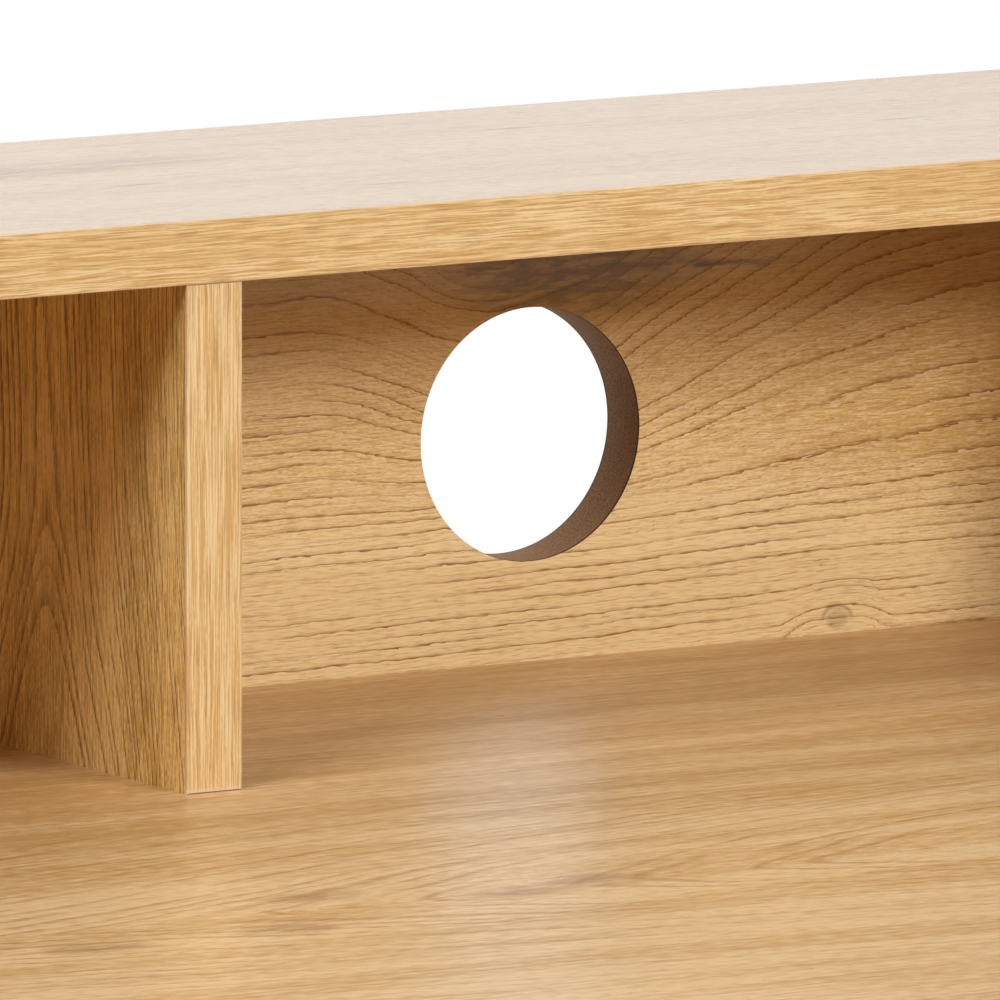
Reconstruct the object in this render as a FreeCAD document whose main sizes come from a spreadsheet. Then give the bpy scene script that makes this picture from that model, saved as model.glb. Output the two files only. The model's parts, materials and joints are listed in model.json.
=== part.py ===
import FreeCAD, Part
import math
import os
import Sketcher

# A desk of laminated boards with a low riser at the back of its worktop.
# X runs along the desk, Y runs from the sitter to the rear, Z runs up.
# The origin is on the floor, under the middle of the desk. Lengths are in millimetres.

SIZES = (
    # The whole desk
    ("Width", "1200", "length of the desk, end to end"),
    ("Depth", "600", "depth of the worktop"),
    ("WorktopHeight", "750", "height of the working surface"),
    ("WorktopThickness", "22", "thickness of the worktop"),
    ("Board", "15", "thickness of every other board"),
    ("EdgeBand", "1", "thickness of the edge banding"),
    ("BandRounding", "0.8", "rounding along the outer edges of the banding"),
    # The riser on the worktop
    ("RiserDepth", "147", "depth of the riser, front edge to rear face"),
    ("RiserClearHeight", "120", "clear height under the riser's top"),
    ("CentreBay", "321", "clear width between the two dividers"),
    ("CableHoleDiameter", "62.5", "diameter of the cable hole"),
    ("CableHoleHeight", "56", "height of the cable hole's centre over the worktop"),
    # Under the worktop
    ("ModestyHeight", "350", "height of the modesty panel"),
    ("ModestySetback", "50", "how far the modesty panel sits in from the rear"),
    ("GlideHeight", "4", "thickness of a foot glide"),
    ("GlideLength", "60", "length of a foot glide"),
    ("GlideWidth", "13", "width of a foot glide"),
    ("GlideInset", "70", "from a side panel's edge to the middle of its glide"),
    ("GlidePinDiameter", "4.8", "diameter of a glide's pins"),
    ("GlidePinLength", "10", "length of a glide's pins"),
    ("GlidePinSpread", "32", "distance between a glide's two pins"),
    # Fits
    ("FitClearance", "0.1", "radial clearance of every fitting in its bore"),
    ("EndGap", "0.5", "free space at the bottom of a blind bore"),
    # Cam fittings
    ("CamSetback", "34", "from the joint to the middle of the cam disc"),
    ("CamDiameter", "14.8", "diameter of a cam disc"),
    ("CamThickness", "12.2", "thickness of a cam disc"),
    ("CamRecess", "0.3", "how far a cam disc lies below the board's face"),
    ("CamPassDiameter", "7.6", "opening for the bolt in a cam disc"),
    ("CrossWidth", "1.4", "width of the cross slot in a cam disc"),
    ("CrossLength", "8", "length of the cross slot"),
    ("CrossDepth", "2.4", "depth of the cross slot"),
    ("BoltBore", "8", "bore in a board's edge for the bolt"),
    ("BoltThreadDiameter", "5", "thread of a cam bolt"),
    ("BoltThreadLength", "11", "length of the thread in the board's face"),
    ("BoltCollarDiameter", "7.4", "collar of a cam bolt"),
    ("BoltCollarLength", "2.5", "length of the collar"),
    ("BoltShankDiameter", "5.6", "shank of a cam bolt"),
    ("BoltNeckDiameter", "3.2", "neck under the bolt's head"),
    ("BoltNeckLength", "4", "length of the neck"),
    ("BoltHeadDiameter", "6.2", "head of a cam bolt"),
    ("BoltHeadLength", "3.6", "length of the head"),
    # Dowels
    ("DowelDiameter", "8", "diameter of a dowel"),
    ("DowelInFace", "10", "part of a dowel in a board's face"),
    ("DowelInEdge", "20", "part of a dowel in a board's edge"),
    ("DowelTip", "1", "chamfer at a dowel's ends"),
    # Screws through the riser's back into the dividers
    ("ScrewLength", "50", "length of a screw"),
    ("ScrewHeadDiameter", "10", "countersunk head of a screw"),
    ("ScrewHeadHeight", "4.4", "height of the head's cone"),
    ("ScrewBodyDiameter", "6.8", "plain body under the head"),
    ("ScrewThreadDiameter", "4.8", "threaded end of a screw"),
    ("ScrewSocketDiameter", "4", "socket in the head"),
    ("ScrewSocketDepth", "3", "depth of the socket"),
    # Places of the fittings
    ("SideBoltInset", "80", "side panel bolts, in from the front and rear edges"),
    ("SideDowelInset", "130", "side panel dowels, in from the front and rear edges"),
    ("ModestyBoltInset", "80", "modesty panel bolts, in from its top and bottom"),
    ("ModestyDowelInset", "130", "modesty panel dowels, in from its top and bottom"),
    ("ModestyTopDowelOffset", "300", "modesty panel's top dowels, from the middle"),
    ("RiserBoltInset", "37", "riser end bolts, in from the front and rear edges"),
    ("DividerBoltInset", "45", "divider bolts, in from the riser's front"),
    ("DividerDowelInset", "95", "divider dowels, in from the riser's front"),
    ("BackBoltOffset", "380", "riser back bolts, from the middle"),
    ("BackDowelOffset", "260", "riser back dowels, from the middle"),
    ("BackEndDowelSpread", "70", "distance between the dowels in the back's ends"),
    ("DividerScrewSpread", "60", "distance between the screws in a divider"),
)

doc = FreeCAD.newDocument("desk")
sheet = doc.addObject("Spreadsheet::Sheet", "sizes")
for row, (alias, value, meaning) in enumerate(SIZES, start=1):
    sheet.set(f"A{row}", meaning)
    sheet.set(f"B{row}", value)
    sheet.setAlias(f"B{row}", alias)
doc.recompute()

# Named planes of the desk, as formulas on the sheet
LEFT = "(-sizes.Width / 2)"
RIGHT = "(sizes.Width / 2)"
FRONT = "(-sizes.Depth / 2)"
REAR = "(sizes.Depth / 2)"
SURFACE = "sizes.WorktopHeight"
UNDERSIDE = "(sizes.WorktopHeight - sizes.WorktopThickness)"
RISER_FRONT = "(sizes.Depth / 2 - sizes.RiserDepth)"
RISER_CEILING = "(sizes.WorktopHeight + sizes.RiserClearHeight)"
RISER_MIDDLE = "(sizes.WorktopHeight + sizes.RiserClearHeight / 2)"
HALF_BOARD = "sizes.Board / 2"

INNER_LEFT = f"({LEFT} + sizes.Board)"
INNER_RIGHT = f"({RIGHT} - sizes.Board)"
BACK_FACE = f"({REAR} - sizes.Board)"
MODESTY_REAR = f"({REAR} - sizes.ModestySetback)"
MODESTY_FRONT = f"({REAR} - sizes.ModestySetback - sizes.Board)"
MODESTY_BOTTOM = f"({UNDERSIDE} - sizes.ModestyHeight)"

AXES = "xyz"
UNIT = {
    "+x": FreeCAD.Vector(1, 0, 0),
    "-x": FreeCAD.Vector(-1, 0, 0),
    "+y": FreeCAD.Vector(0, 1, 0),
    "-y": FreeCAD.Vector(0, -1, 0),
    "+z": FreeCAD.Vector(0, 0, 1),
    "-z": FreeCAD.Vector(0, 0, -1),
}
OPPOSITE = {"+": "-", "-": "+"}

# The origin plane square to each axis, the two axes that lie in it,
# and whether its normal points along the axis or against it
PLANES = {
    "x": ("YZ_Plane", "yz", "+"),
    "y": ("XZ_Plane", "xz", "-"),
    "z": ("XY_Plane", "xy", "+"),
}


def back_way(way):
    """The way that points the other way."""
    return OPPOSITE[way[0]] + way[1]


def moved(point, way, distance):
    """The point a distance away from another, along a way such as +z."""
    sign, axis = way
    coordinates = list(point)
    index = AXES.index(axis)
    coordinates[index] = f"({point[index]} {sign} {distance})"
    return tuple(coordinates)


def put(item, point, rotation=None):
    """Turn an item, then tie its place to the sheet."""
    if rotation:
        item.Placement = FreeCAD.Placement(FreeCAD.Vector(), rotation)
    for axis, coordinate in zip(AXES, point):
        item.setExpression(f"Placement.Base.{axis}", str(coordinate))


def turn_to(way):
    """The rotation that turns +Z to a way."""
    return FreeCAD.Rotation(UNIT["+z"], UNIT[way])


def turn_axes(x_way, z_way):
    """The rotation that turns +X to one way and +Z to another."""
    x_axis = UNIT[x_way]
    z_axis = UNIT[z_way]
    return FreeCAD.Rotation(x_axis, z_axis.cross(x_axis), z_axis)


def sketch_on(body, name, plane_role, offset=None):
    """A sketch on one of the body's own origin planes, at an offset along its normal."""
    sketch = body.newObject("Sketcher::SketchObject", name)
    plane = next(item for item in body.Origin.OriginFeatures if item.Role == plane_role)
    sketch.AttachmentSupport = [(plane, "")]
    sketch.MapMode = "FlatFace"
    if offset:
        sketch.setExpression("AttachmentOffset.Base.z", offset)
    return sketch


def value_of(formula):
    """What a formula on the sheet comes to."""
    return float(sheet.evalExpression(formula))


def dimension(sketch, kind, references, name, formula):
    """A dimension of the sketch that follows a formula on the sheet."""
    constraint = Sketcher.Constraint(kind, *references, value_of(formula))
    constraint.Name = name
    sketch.addConstraint(constraint)
    sketch.setExpression(f"Constraints.{name}", formula)


def draw_rectangle(sketch, width, height):
    """A rectangle with one corner at the sketch's origin."""
    right = value_of(width)
    top = value_of(height)
    corners = [(0, 0), (right, 0), (right, top), (0, top)]
    points = [FreeCAD.Vector(x, y, 0) for x, y in corners]
    for start, end in zip(points, points[1:] + points[:1]):
        sketch.addGeometry(Part.LineSegment(start, end))
    for line in range(4):
        sketch.addConstraint(Sketcher.Constraint("Coincident", line, 2, (line + 1) % 4, 1))
        kind = "Vertical" if line % 2 else "Horizontal"
        sketch.addConstraint(Sketcher.Constraint(kind, line))
    sketch.addConstraint(Sketcher.Constraint("Coincident", 0, 1, -1, 1))
    dimension(sketch, "DistanceX", (0, 1, 0, 2), "width", width)
    dimension(sketch, "DistanceY", (1, 1, 1, 2), "height", height)


def draw_band_section(sketch, thickness, height, rounding):
    """The section of an edge band: flat towards the board, rounded on its outer corners."""
    out = value_of(thickness)
    top = value_of(height)
    bend = value_of(rounding)
    vector = FreeCAD.Vector
    lower = Part.Circle(vector(out - bend, bend, 0), UNIT["+z"], bend)
    upper = Part.Circle(vector(out - bend, top - bend, 0), UNIT["+z"], bend)
    quarter = math.pi / 2
    sketch.addGeometry(Part.LineSegment(vector(0, 0, 0), vector(out - bend, 0, 0)))
    sketch.addGeometry(Part.ArcOfCircle(lower, -quarter, 0))
    sketch.addGeometry(Part.LineSegment(vector(out, bend, 0), vector(out, top - bend, 0)))
    sketch.addGeometry(Part.ArcOfCircle(upper, 0, quarter))
    sketch.addGeometry(Part.LineSegment(vector(out - bend, top, 0), vector(0, top, 0)))
    sketch.addGeometry(Part.LineSegment(vector(0, top, 0), vector(0, 0, 0)))
    for first, second in ((0, 1), (1, 2), (2, 3), (3, 4)):
        sketch.addConstraint(Sketcher.Constraint("Tangent", first, 2, second, 1))
    sketch.addConstraint(Sketcher.Constraint("Coincident", 4, 2, 5, 1))
    sketch.addConstraint(Sketcher.Constraint("Coincident", 5, 2, 0, 1))
    sketch.addConstraint(Sketcher.Constraint("Coincident", 0, 1, -1, 1))
    sketch.addConstraint(Sketcher.Constraint("Horizontal", 0))
    sketch.addConstraint(Sketcher.Constraint("Vertical", 5))
    sketch.addConstraint(Sketcher.Constraint("Equal", 1, 3))
    dimension(sketch, "Radius", (1,), "rounding", rounding)
    dimension(sketch, "DistanceX", (0, 1, 2, 1), "thickness", thickness)
    dimension(sketch, "DistanceY", (5, 2, 5, 1), "height", height)


def low(pair):
    """The lower of a board's two places on an axis."""
    return pair[0]


def high(pair):
    """The higher of a board's two places on an axis."""
    return pair[1]


def span(pair):
    """The length between a board's two places on an axis."""
    return f"({high(pair)} - {low(pair)})"


def edge_band(name, limits, outward, thickness_axis):
    """One strip of edge banding that fills its limits, with its round corners outward."""
    across = UNIT["+" + thickness_axis]
    run = UNIT[outward].cross(across)
    run_way = max(UNIT, key=lambda way: UNIT[way].dot(run))
    starts = {
        outward[1]: low if outward[0] == "+" else high,
        thickness_axis: low,
        run_way[1]: low if run_way[0] == "+" else high,
    }
    corner = [starts[axis](limits[index]) for index, axis in enumerate(AXES)]
    band = doc.addObject("PartDesign::Body", name)
    section = sketch_on(band, name + "_section", "XY_Plane")
    height = span(limits[AXES.index(thickness_axis)])
    draw_band_section(section, "sizes.EdgeBand", height, "sizes.BandRounding")
    strip = band.newObject("PartDesign::Pad", name + "_strip")
    strip.Profile = section
    strip.setExpression("Length", span(limits[AXES.index(run_way[1])]))
    put(band, corner, FreeCAD.Rotation(UNIT[outward], across, run))
    return band


class Board:
    """A board between two places on each axis, with banding on the sides that are named."""

    def __init__(self, name, limits, thickness_axis, banded=()):
        self.name = name
        self.limits = list(limits)
        self.bores = {}
        for way in banded:
            index = AXES.index(way[1])
            start, end = self.limits[index]
            if way[0] == "+":
                self.limits[index] = (start, f"({end} - sizes.EdgeBand)")
            else:
                self.limits[index] = (f"({start} + sizes.EdgeBand)", end)
        self.body = doc.addObject("PartDesign::Body", name)
        outline = sketch_on(self.body, name + "_outline", "XY_Plane")
        draw_rectangle(outline, span(self.limits[0]), span(self.limits[1]))
        self.pad = self.body.newObject("PartDesign::Pad", name + "_core")
        self.pad.Profile = outline
        self.pad.setExpression("Length", span(self.limits[2]))
        put(self.body, [low(pair) for pair in self.limits])
        self.bands = [self.band(way, limits, thickness_axis) for way in banded]

    def band(self, way, outer_limits, thickness_axis):
        """Banding on one side. Bands that face along X run between the front and rear ones."""
        index = AXES.index(way[1])
        limits = list(self.limits if way[1] == "x" else outer_limits)
        if way[0] == "+":
            limits[index] = (self.limits[index][1], outer_limits[index][1])
        else:
            limits[index] = (outer_limits[index][0], self.limits[index][0])
        side = {"-x": "left", "+x": "right", "-y": "front", "+y": "rear", "-z": "bottom"}[way]
        return edge_band(f"{self.name}_{side}_band", limits, way, thickness_axis)

    def bore(self, point, way, diameter, depth, narrowing=""):
        """Note a round bore that starts at a point of the desk and runs along a way.

        A countersink also has the angle at which its wall narrows.
        """
        key = (way, point[AXES.index(way[1])], diameter, depth, narrowing)
        spot = [point[AXES.index(axis)] for axis in PLANES[way[1]][1]]
        self.bores.setdefault(key, []).append(spot)

    def local(self, axis, coordinate):
        """A coordinate of the desk, measured from the board's own corner."""
        return f"({coordinate} - {low(self.limits[AXES.index(axis)])})"

    def spots_sketch(self, name, way, start, diameter, spots):
        """A sketch with one circle at each spot, on the plane where the bores start."""
        role, in_plane, normal = PLANES[way[1]]
        offset = self.local(way[1], start)
        if normal == "-":
            offset = "-" + offset
        sketch = sketch_on(self.body, name, role, offset)
        for number, spot in enumerate(spots):
            across, along = [self.local(axis, place) for axis, place in zip(in_plane, spot)]
            middle = FreeCAD.Vector(value_of(across), value_of(along), 0)
            sketch.addGeometry(Part.Circle(middle, UNIT["+z"], value_of(diameter) / 2))
            dimension(sketch, "Diameter", (number,), f"bore{number}", diameter)
            dimension(sketch, "DistanceX", (-1, 1, number, 3), f"across{number}", across)
            dimension(sketch, "DistanceY", (-1, 1, number, 3), f"along{number}", along)
        return sketch

    def drill(self):
        """Cut every noted bore, one sketch and pocket for each kind."""
        for number, (key, spots) in enumerate(self.bores.items(), start=1):
            way, start, diameter, depth, narrowing = key
            name = f"{self.name}_spots_{number}"
            sketch = self.spots_sketch(name, way, start, diameter, spots)
            pocket = self.body.newObject("PartDesign::Pocket", f"{self.name}_bores_{number}")
            pocket.Profile = sketch
            pocket.setExpression("Length", depth)
            pocket.Reversed = way[0] == PLANES[way[1]][2]
            if narrowing:
                pocket.setExpression("TaperAngle", f"-{narrowing}")


groups = {}


def add_to(group, item):
    """Keep a fitting in the group that becomes one node."""
    groups.setdefault(group, []).append(item)


def fitting_name(group):
    return f"{group}_{len(groups.get(group, [])) + 1}"


def cylinder(name, diameter, height, start="0"):
    """A round length along Z that starts at a height."""
    item = doc.addObject("Part::Cylinder", name)
    item.setExpression("Radius", f"{diameter} / 2")
    item.setExpression("Height", height)
    item.setExpression("Placement.Base.z", start)
    return item


def cone(name, lower_diameter, upper_diameter, height, start="0"):
    """A tapered length along Z that starts at a height."""
    item = doc.addObject("Part::Cone", name)
    item.setExpression("Radius1", f"{lower_diameter} / 2")
    item.setExpression("Radius2", f"{upper_diameter} / 2")
    item.setExpression("Height", height)
    item.setExpression("Placement.Base.z", start)
    return item


def joined(name, items):
    fuse = doc.addObject("Part::MultiFuse", name)
    fuse.Shapes = items
    return fuse


def cam_bolt(group, joint, way):
    """A steel bolt: its thread is in one board's face, its head in the other board's cam."""
    name = fitting_name(group)
    head_start = "(sizes.CamSetback - sizes.BoltHeadLength / 2)"
    neck_start = f"({head_start} - sizes.BoltNeckLength)"
    shank = f"({neck_start} - sizes.BoltCollarLength)"
    parts = [
        cylinder(name + "_thread", "sizes.BoltThreadDiameter", "sizes.BoltThreadLength",
                 "-sizes.BoltThreadLength"),
        cylinder(name + "_collar", "sizes.BoltCollarDiameter", "sizes.BoltCollarLength"),
        cylinder(name + "_shank", "sizes.BoltShankDiameter", shank, "sizes.BoltCollarLength"),
        cylinder(name + "_neck", "sizes.BoltNeckDiameter", "sizes.BoltNeckLength", neck_start),
        cylinder(name + "_head", "sizes.BoltHeadDiameter", "sizes.BoltHeadLength", head_start),
    ]
    bolt = joined(name, parts)
    put(bolt, joint, turn_to(way))
    add_to(group, bolt)


def cam_disc(group, centre, face_way, joint_way):
    """A zinc disc with a cross slot, open on the side that the bolt comes from."""
    name = fitting_name(group)
    disc = cylinder(name + "_disc", "sizes.CamDiameter", "sizes.CamThickness",
                    "-(sizes.CamThickness + sizes.CamRecess)")
    reach = "(sizes.CamDiameter / 2 + sizes.BoltHeadLength)"
    passage = doc.addObject("Part::Cylinder", name + "_passage")
    passage.Placement = FreeCAD.Placement(FreeCAD.Vector(), turn_to("+x"))
    passage.setExpression("Radius", "sizes.CamPassDiameter / 2")
    passage.setExpression("Height", reach)
    passage.setExpression("Placement.Base.x", "-sizes.BoltHeadLength")
    passage.setExpression("Placement.Base.z", "-" + HALF_BOARD)
    slots = []
    for number, (wide, tall) in enumerate((("Length", "Width"), ("Width", "Length"))):
        slot = doc.addObject("Part::Box", f"{name}_slot_{number}")
        slot.setExpression("Length", f"sizes.Cross{wide}")
        slot.setExpression("Width", f"sizes.Cross{tall}")
        slot.setExpression("Height", "sizes.CrossDepth + sizes.CamRecess")
        slot.setExpression("Placement.Base.x", f"-sizes.Cross{wide} / 2")
        slot.setExpression("Placement.Base.y", f"-sizes.Cross{tall} / 2")
        slot.setExpression("Placement.Base.z", "-(sizes.CrossDepth + sizes.CamRecess)")
        slots.append(slot)
    cam = doc.addObject("Part::Cut", name)
    cam.Base = disc
    cam.Tool = joined(name + "_hollows", [passage] + slots)
    put(cam, centre, turn_axes(joint_way, face_way))
    add_to(group, cam)


def cam_joint(family, face_board, edge_board, joint, way, face_way):
    """Join a board's face to another board's edge with a bolt and a cam.

    The bolt leaves the first board at the joint and points along the way.
    The cam lies in the face of the second board that looks along face_way.
    """
    cam_bolt(family + "_cam_bolts", joint, way)
    middle = moved(joint, way, "sizes.CamSetback")
    on_face = moved(middle, face_way, HALF_BOARD)
    cam_disc(family + "_cam_discs", on_face, face_way, back_way(way))
    thread_bore = "(sizes.BoltThreadDiameter + 2 * sizes.FitClearance)"
    thread_depth = "(sizes.BoltThreadLength + sizes.EndGap)"
    face_board.bore(joint, back_way(way), thread_bore, thread_depth)
    edge_board.bore(joint, way, "sizes.BoltBore", "sizes.CamSetback")
    cam_bore = "(sizes.CamDiameter + 2 * sizes.FitClearance)"
    cam_depth = "(sizes.CamThickness + sizes.CamRecess)"
    edge_board.bore(on_face, back_way(face_way), cam_bore, cam_depth)


def dowel_joint(family, face_board, edge_board, joint, way):
    """Join a board's face to another board's edge with a dowel."""
    group = family + "_dowels"
    name = fitting_name(group)
    tip = "(sizes.DowelDiameter - 2 * sizes.DowelTip)"
    straight = "(sizes.DowelInFace + sizes.DowelInEdge - 2 * sizes.DowelTip)"
    parts = [
        cone(name + "_foot", tip, "sizes.DowelDiameter", "sizes.DowelTip",
             "-sizes.DowelInFace"),
        cylinder(name + "_middle", "sizes.DowelDiameter", straight,
                 "(sizes.DowelTip - sizes.DowelInFace)"),
        cone(name + "_point", "sizes.DowelDiameter", tip, "sizes.DowelTip",
             "(sizes.DowelInEdge - sizes.DowelTip)"),
    ]
    dowel = joined(name, parts)
    put(dowel, joint, turn_to(way))
    add_to(group, dowel)
    bore = "(sizes.DowelDiameter + 2 * sizes.FitClearance)"
    face_board.bore(joint, back_way(way), bore, "(sizes.DowelInFace + sizes.EndGap)")
    edge_board.bore(joint, way, bore, "(sizes.DowelInEdge + sizes.EndGap)")


# The boards

worktop = Board(
    "worktop", [(LEFT, RIGHT), (FRONT, REAR), (UNDERSIDE, SURFACE)], "z",
    banded=("-y", "+y", "-x", "+x"))
side_panel_left = Board(
    "side_panel_left", [(LEFT, INNER_LEFT), (FRONT, REAR), ("sizes.GlideHeight", UNDERSIDE)],
    "x", banded=("-y", "+y"))
side_panel_right = Board(
    "side_panel_right", [(INNER_RIGHT, RIGHT), (FRONT, REAR), ("sizes.GlideHeight", UNDERSIDE)],
    "x", banded=("-y", "+y"))
modesty_panel = Board(
    "modesty_panel",
    [(INNER_LEFT, INNER_RIGHT), (MODESTY_FRONT, MODESTY_REAR), (MODESTY_BOTTOM, UNDERSIDE)],
    "y", banded=("-z",))

RISER_HEIGHT_LIMITS = (SURFACE, RISER_CEILING)
riser_back = Board(
    "riser_back", [(INNER_LEFT, INNER_RIGHT), (BACK_FACE, REAR), RISER_HEIGHT_LIMITS], "y")
riser_top = Board(
    "riser_top",
    [(LEFT, RIGHT), (RISER_FRONT, REAR), (RISER_CEILING, f"({RISER_CEILING} + sizes.Board)")],
    "z", banded=("-y", "+y", "-x", "+x"))
riser_end_left = Board(
    "riser_end_left", [(LEFT, INNER_LEFT), (RISER_FRONT, REAR), RISER_HEIGHT_LIMITS],
    "x", banded=("-y", "+y"))
riser_end_right = Board(
    "riser_end_right", [(INNER_RIGHT, RIGHT), (RISER_FRONT, REAR), RISER_HEIGHT_LIMITS],
    "x", banded=("-y", "+y"))

DIVIDER_LEFT = "(-sizes.CentreBay / 2 - sizes.Board)"
DIVIDER_RIGHT = "(sizes.CentreBay / 2)"
divider_left = Board(
    "divider_left",
    [(DIVIDER_LEFT, f"({DIVIDER_LEFT} + sizes.Board)"), (RISER_FRONT, BACK_FACE),
     RISER_HEIGHT_LIMITS],
    "x", banded=("-y",))
divider_right = Board(
    "divider_right",
    [(DIVIDER_RIGHT, f"({DIVIDER_RIGHT} + sizes.Board)"), (RISER_FRONT, BACK_FACE),
     RISER_HEIGHT_LIMITS],
    "x", banded=("-y",))

boards = [worktop, side_panel_left, side_panel_right, modesty_panel, riser_back, riser_top,
          riser_end_left, riser_end_right, divider_left, divider_right]

# The cable hole in the riser's back, in the middle of the centre bay

hole_height = "(sizes.WorktopHeight + sizes.CableHoleHeight)"
riser_back.bore(("0", BACK_FACE, hole_height), "+y", "sizes.CableHoleDiameter", "sizes.Board")

# Side panels to the worktop and the modesty panel to both

modesty_middle = f"({MODESTY_REAR} - {HALF_BOARD})"
for panel, middle, joint_x, inward in (
        (side_panel_left, f"({LEFT} + {HALF_BOARD})", INNER_LEFT, "+x"),
        (side_panel_right, f"({RIGHT} - {HALF_BOARD})", INNER_RIGHT, "-x")):
    for edge, in_way in ((FRONT, "+y"), (REAR, "-y")):
        corner = (middle, edge, UNDERSIDE)
        bolt_spot = moved(corner, in_way, "sizes.SideBoltInset")
        cam_joint("side_panel", worktop, panel, bolt_spot, "-z", inward)
        dowel_spot = moved(corner, in_way, "sizes.SideDowelInset")
        dowel_joint("side_panel", worktop, panel, dowel_spot, "-z")
    for edge, in_way in ((UNDERSIDE, "-z"), (MODESTY_BOTTOM, "+z")):
        corner = (joint_x, modesty_middle, edge)
        bolt_spot = moved(corner, in_way, "sizes.ModestyBoltInset")
        cam_joint("modesty_panel", panel, modesty_panel, bolt_spot, inward, "+y")
        dowel_spot = moved(corner, in_way, "sizes.ModestyDowelInset")
        dowel_joint("modesty_panel", panel, modesty_panel, dowel_spot, inward)

for sign in ("-", ""):
    spot = (f"({sign}sizes.ModestyTopDowelOffset)", modesty_middle, UNDERSIDE)
    dowel_joint("modesty_panel", worktop, modesty_panel, spot, "-z")

# The riser to the worktop below it and to its own top

divider_middles = [(divider_left, f"({DIVIDER_LEFT} + {HALF_BOARD})"),
                   (divider_right, f"({DIVIDER_RIGHT} + {HALF_BOARD})")]
back_middle = f"({BACK_FACE} + {HALF_BOARD})"
end_dowel = f"(({RISER_FRONT} + {REAR}) / 2)"
for family, carrier, joint_z, way in (
        ("riser_base", worktop, SURFACE, "+z"),
        ("riser_top", riser_top, RISER_CEILING, "-z")):
    for panel, middle, inward in (
            (riser_end_left, f"({LEFT} + {HALF_BOARD})", "+x"),
            (riser_end_right, f"({RIGHT} - {HALF_BOARD})", "-x")):
        for edge, in_way in ((RISER_FRONT, "+y"), (REAR, "-y")):
            spot = moved((middle, edge, joint_z), in_way, "sizes.RiserBoltInset")
            cam_joint(family, carrier, panel, spot, way, inward)
        dowel_joint(family, carrier, panel, (middle, end_dowel, joint_z), way)
    for divider, middle in divider_middles:
        front = (middle, RISER_FRONT, joint_z)
        bolt_spot = moved(front, "+y", "sizes.DividerBoltInset")
        cam_joint(family, carrier, divider, bolt_spot, way, "+x")
        dowel_spot = moved(front, "+y", "sizes.DividerDowelInset")
        dowel_joint(family, carrier, divider, dowel_spot, way)
    for sign in ("-", ""):
        bolt_spot = (f"({sign}sizes.BackBoltOffset)", back_middle, joint_z)
        cam_joint(family, carrier, riser_back, bolt_spot, way, "+y")
        dowel_spot = (f"({sign}sizes.BackDowelOffset)", back_middle, joint_z)
        dowel_joint(family, carrier, riser_back, dowel_spot, way)

# The riser's back to its end panels

for panel, joint_x, inward in ((riser_end_left, INNER_LEFT, "+x"),
                               (riser_end_right, INNER_RIGHT, "-x")):
    middle = (joint_x, back_middle, RISER_MIDDLE)
    cam_joint("riser_back", panel, riser_back, middle, inward, "+y")
    for way in ("+z", "-z"):
        spot = moved(middle, way, "sizes.BackEndDowelSpread / 2")
        dowel_joint("riser_back", panel, riser_back, spot, inward)

# Countersunk screws through the riser's back into the dividers' rear edges

head_bore = "(sizes.ScrewHeadDiameter + 2 * sizes.FitClearance)"
head_slope = "atan((sizes.ScrewHeadDiameter - sizes.ScrewBodyDiameter) / (2 * sizes.ScrewHeadHeight))"
body_bore = "(sizes.ScrewBodyDiameter + 2 * sizes.FitClearance)"
pilot_bore = "(sizes.ScrewThreadDiameter + 2 * sizes.FitClearance)"
in_edge = "(sizes.ScrewLength - sizes.Board + sizes.EndGap)"
screw_spots = []
for divider, middle in divider_middles:
    for way in ("+z", "-z"):
        spot = moved((middle, REAR, RISER_MIDDLE), way, "sizes.DividerScrewSpread / 2")
        screw_spots.append(spot)
        riser_back.bore(spot, "-y", body_bore, "sizes.Board")
        riser_back.bore(spot, "-y", head_bore, "sizes.ScrewHeadHeight", head_slope)
        divider.bore((spot[0], BACK_FACE, spot[2]), "-y", pilot_bore, in_edge)


def divider_screw(spot):
    """A screw along Z from its flush head, with a round socket."""
    group = "divider_screws"
    name = fitting_name(group)
    thread = "(sizes.ScrewLength - sizes.Board)"
    parts = [
        cone(name + "_head", "sizes.ScrewHeadDiameter", "sizes.ScrewBodyDiameter",
             "sizes.ScrewHeadHeight"),
        cylinder(name + "_body", "sizes.ScrewBodyDiameter", "sizes.Board"),
        cylinder(name + "_thread", "sizes.ScrewThreadDiameter", thread, "sizes.Board"),
    ]
    screw = doc.addObject("Part::Cut", name)
    screw.Base = joined(name + "_solid", parts)
    screw.Tool = cylinder(name + "_socket", "sizes.ScrewSocketDiameter",
                          "sizes.ScrewSocketDepth")
    put(screw, spot, turn_to("-y"))
    add_to(group, screw)


for spot in screw_spots:
    divider_screw(spot)

# Foot glides, two under each side panel, with pins that go into its lower edge


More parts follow.
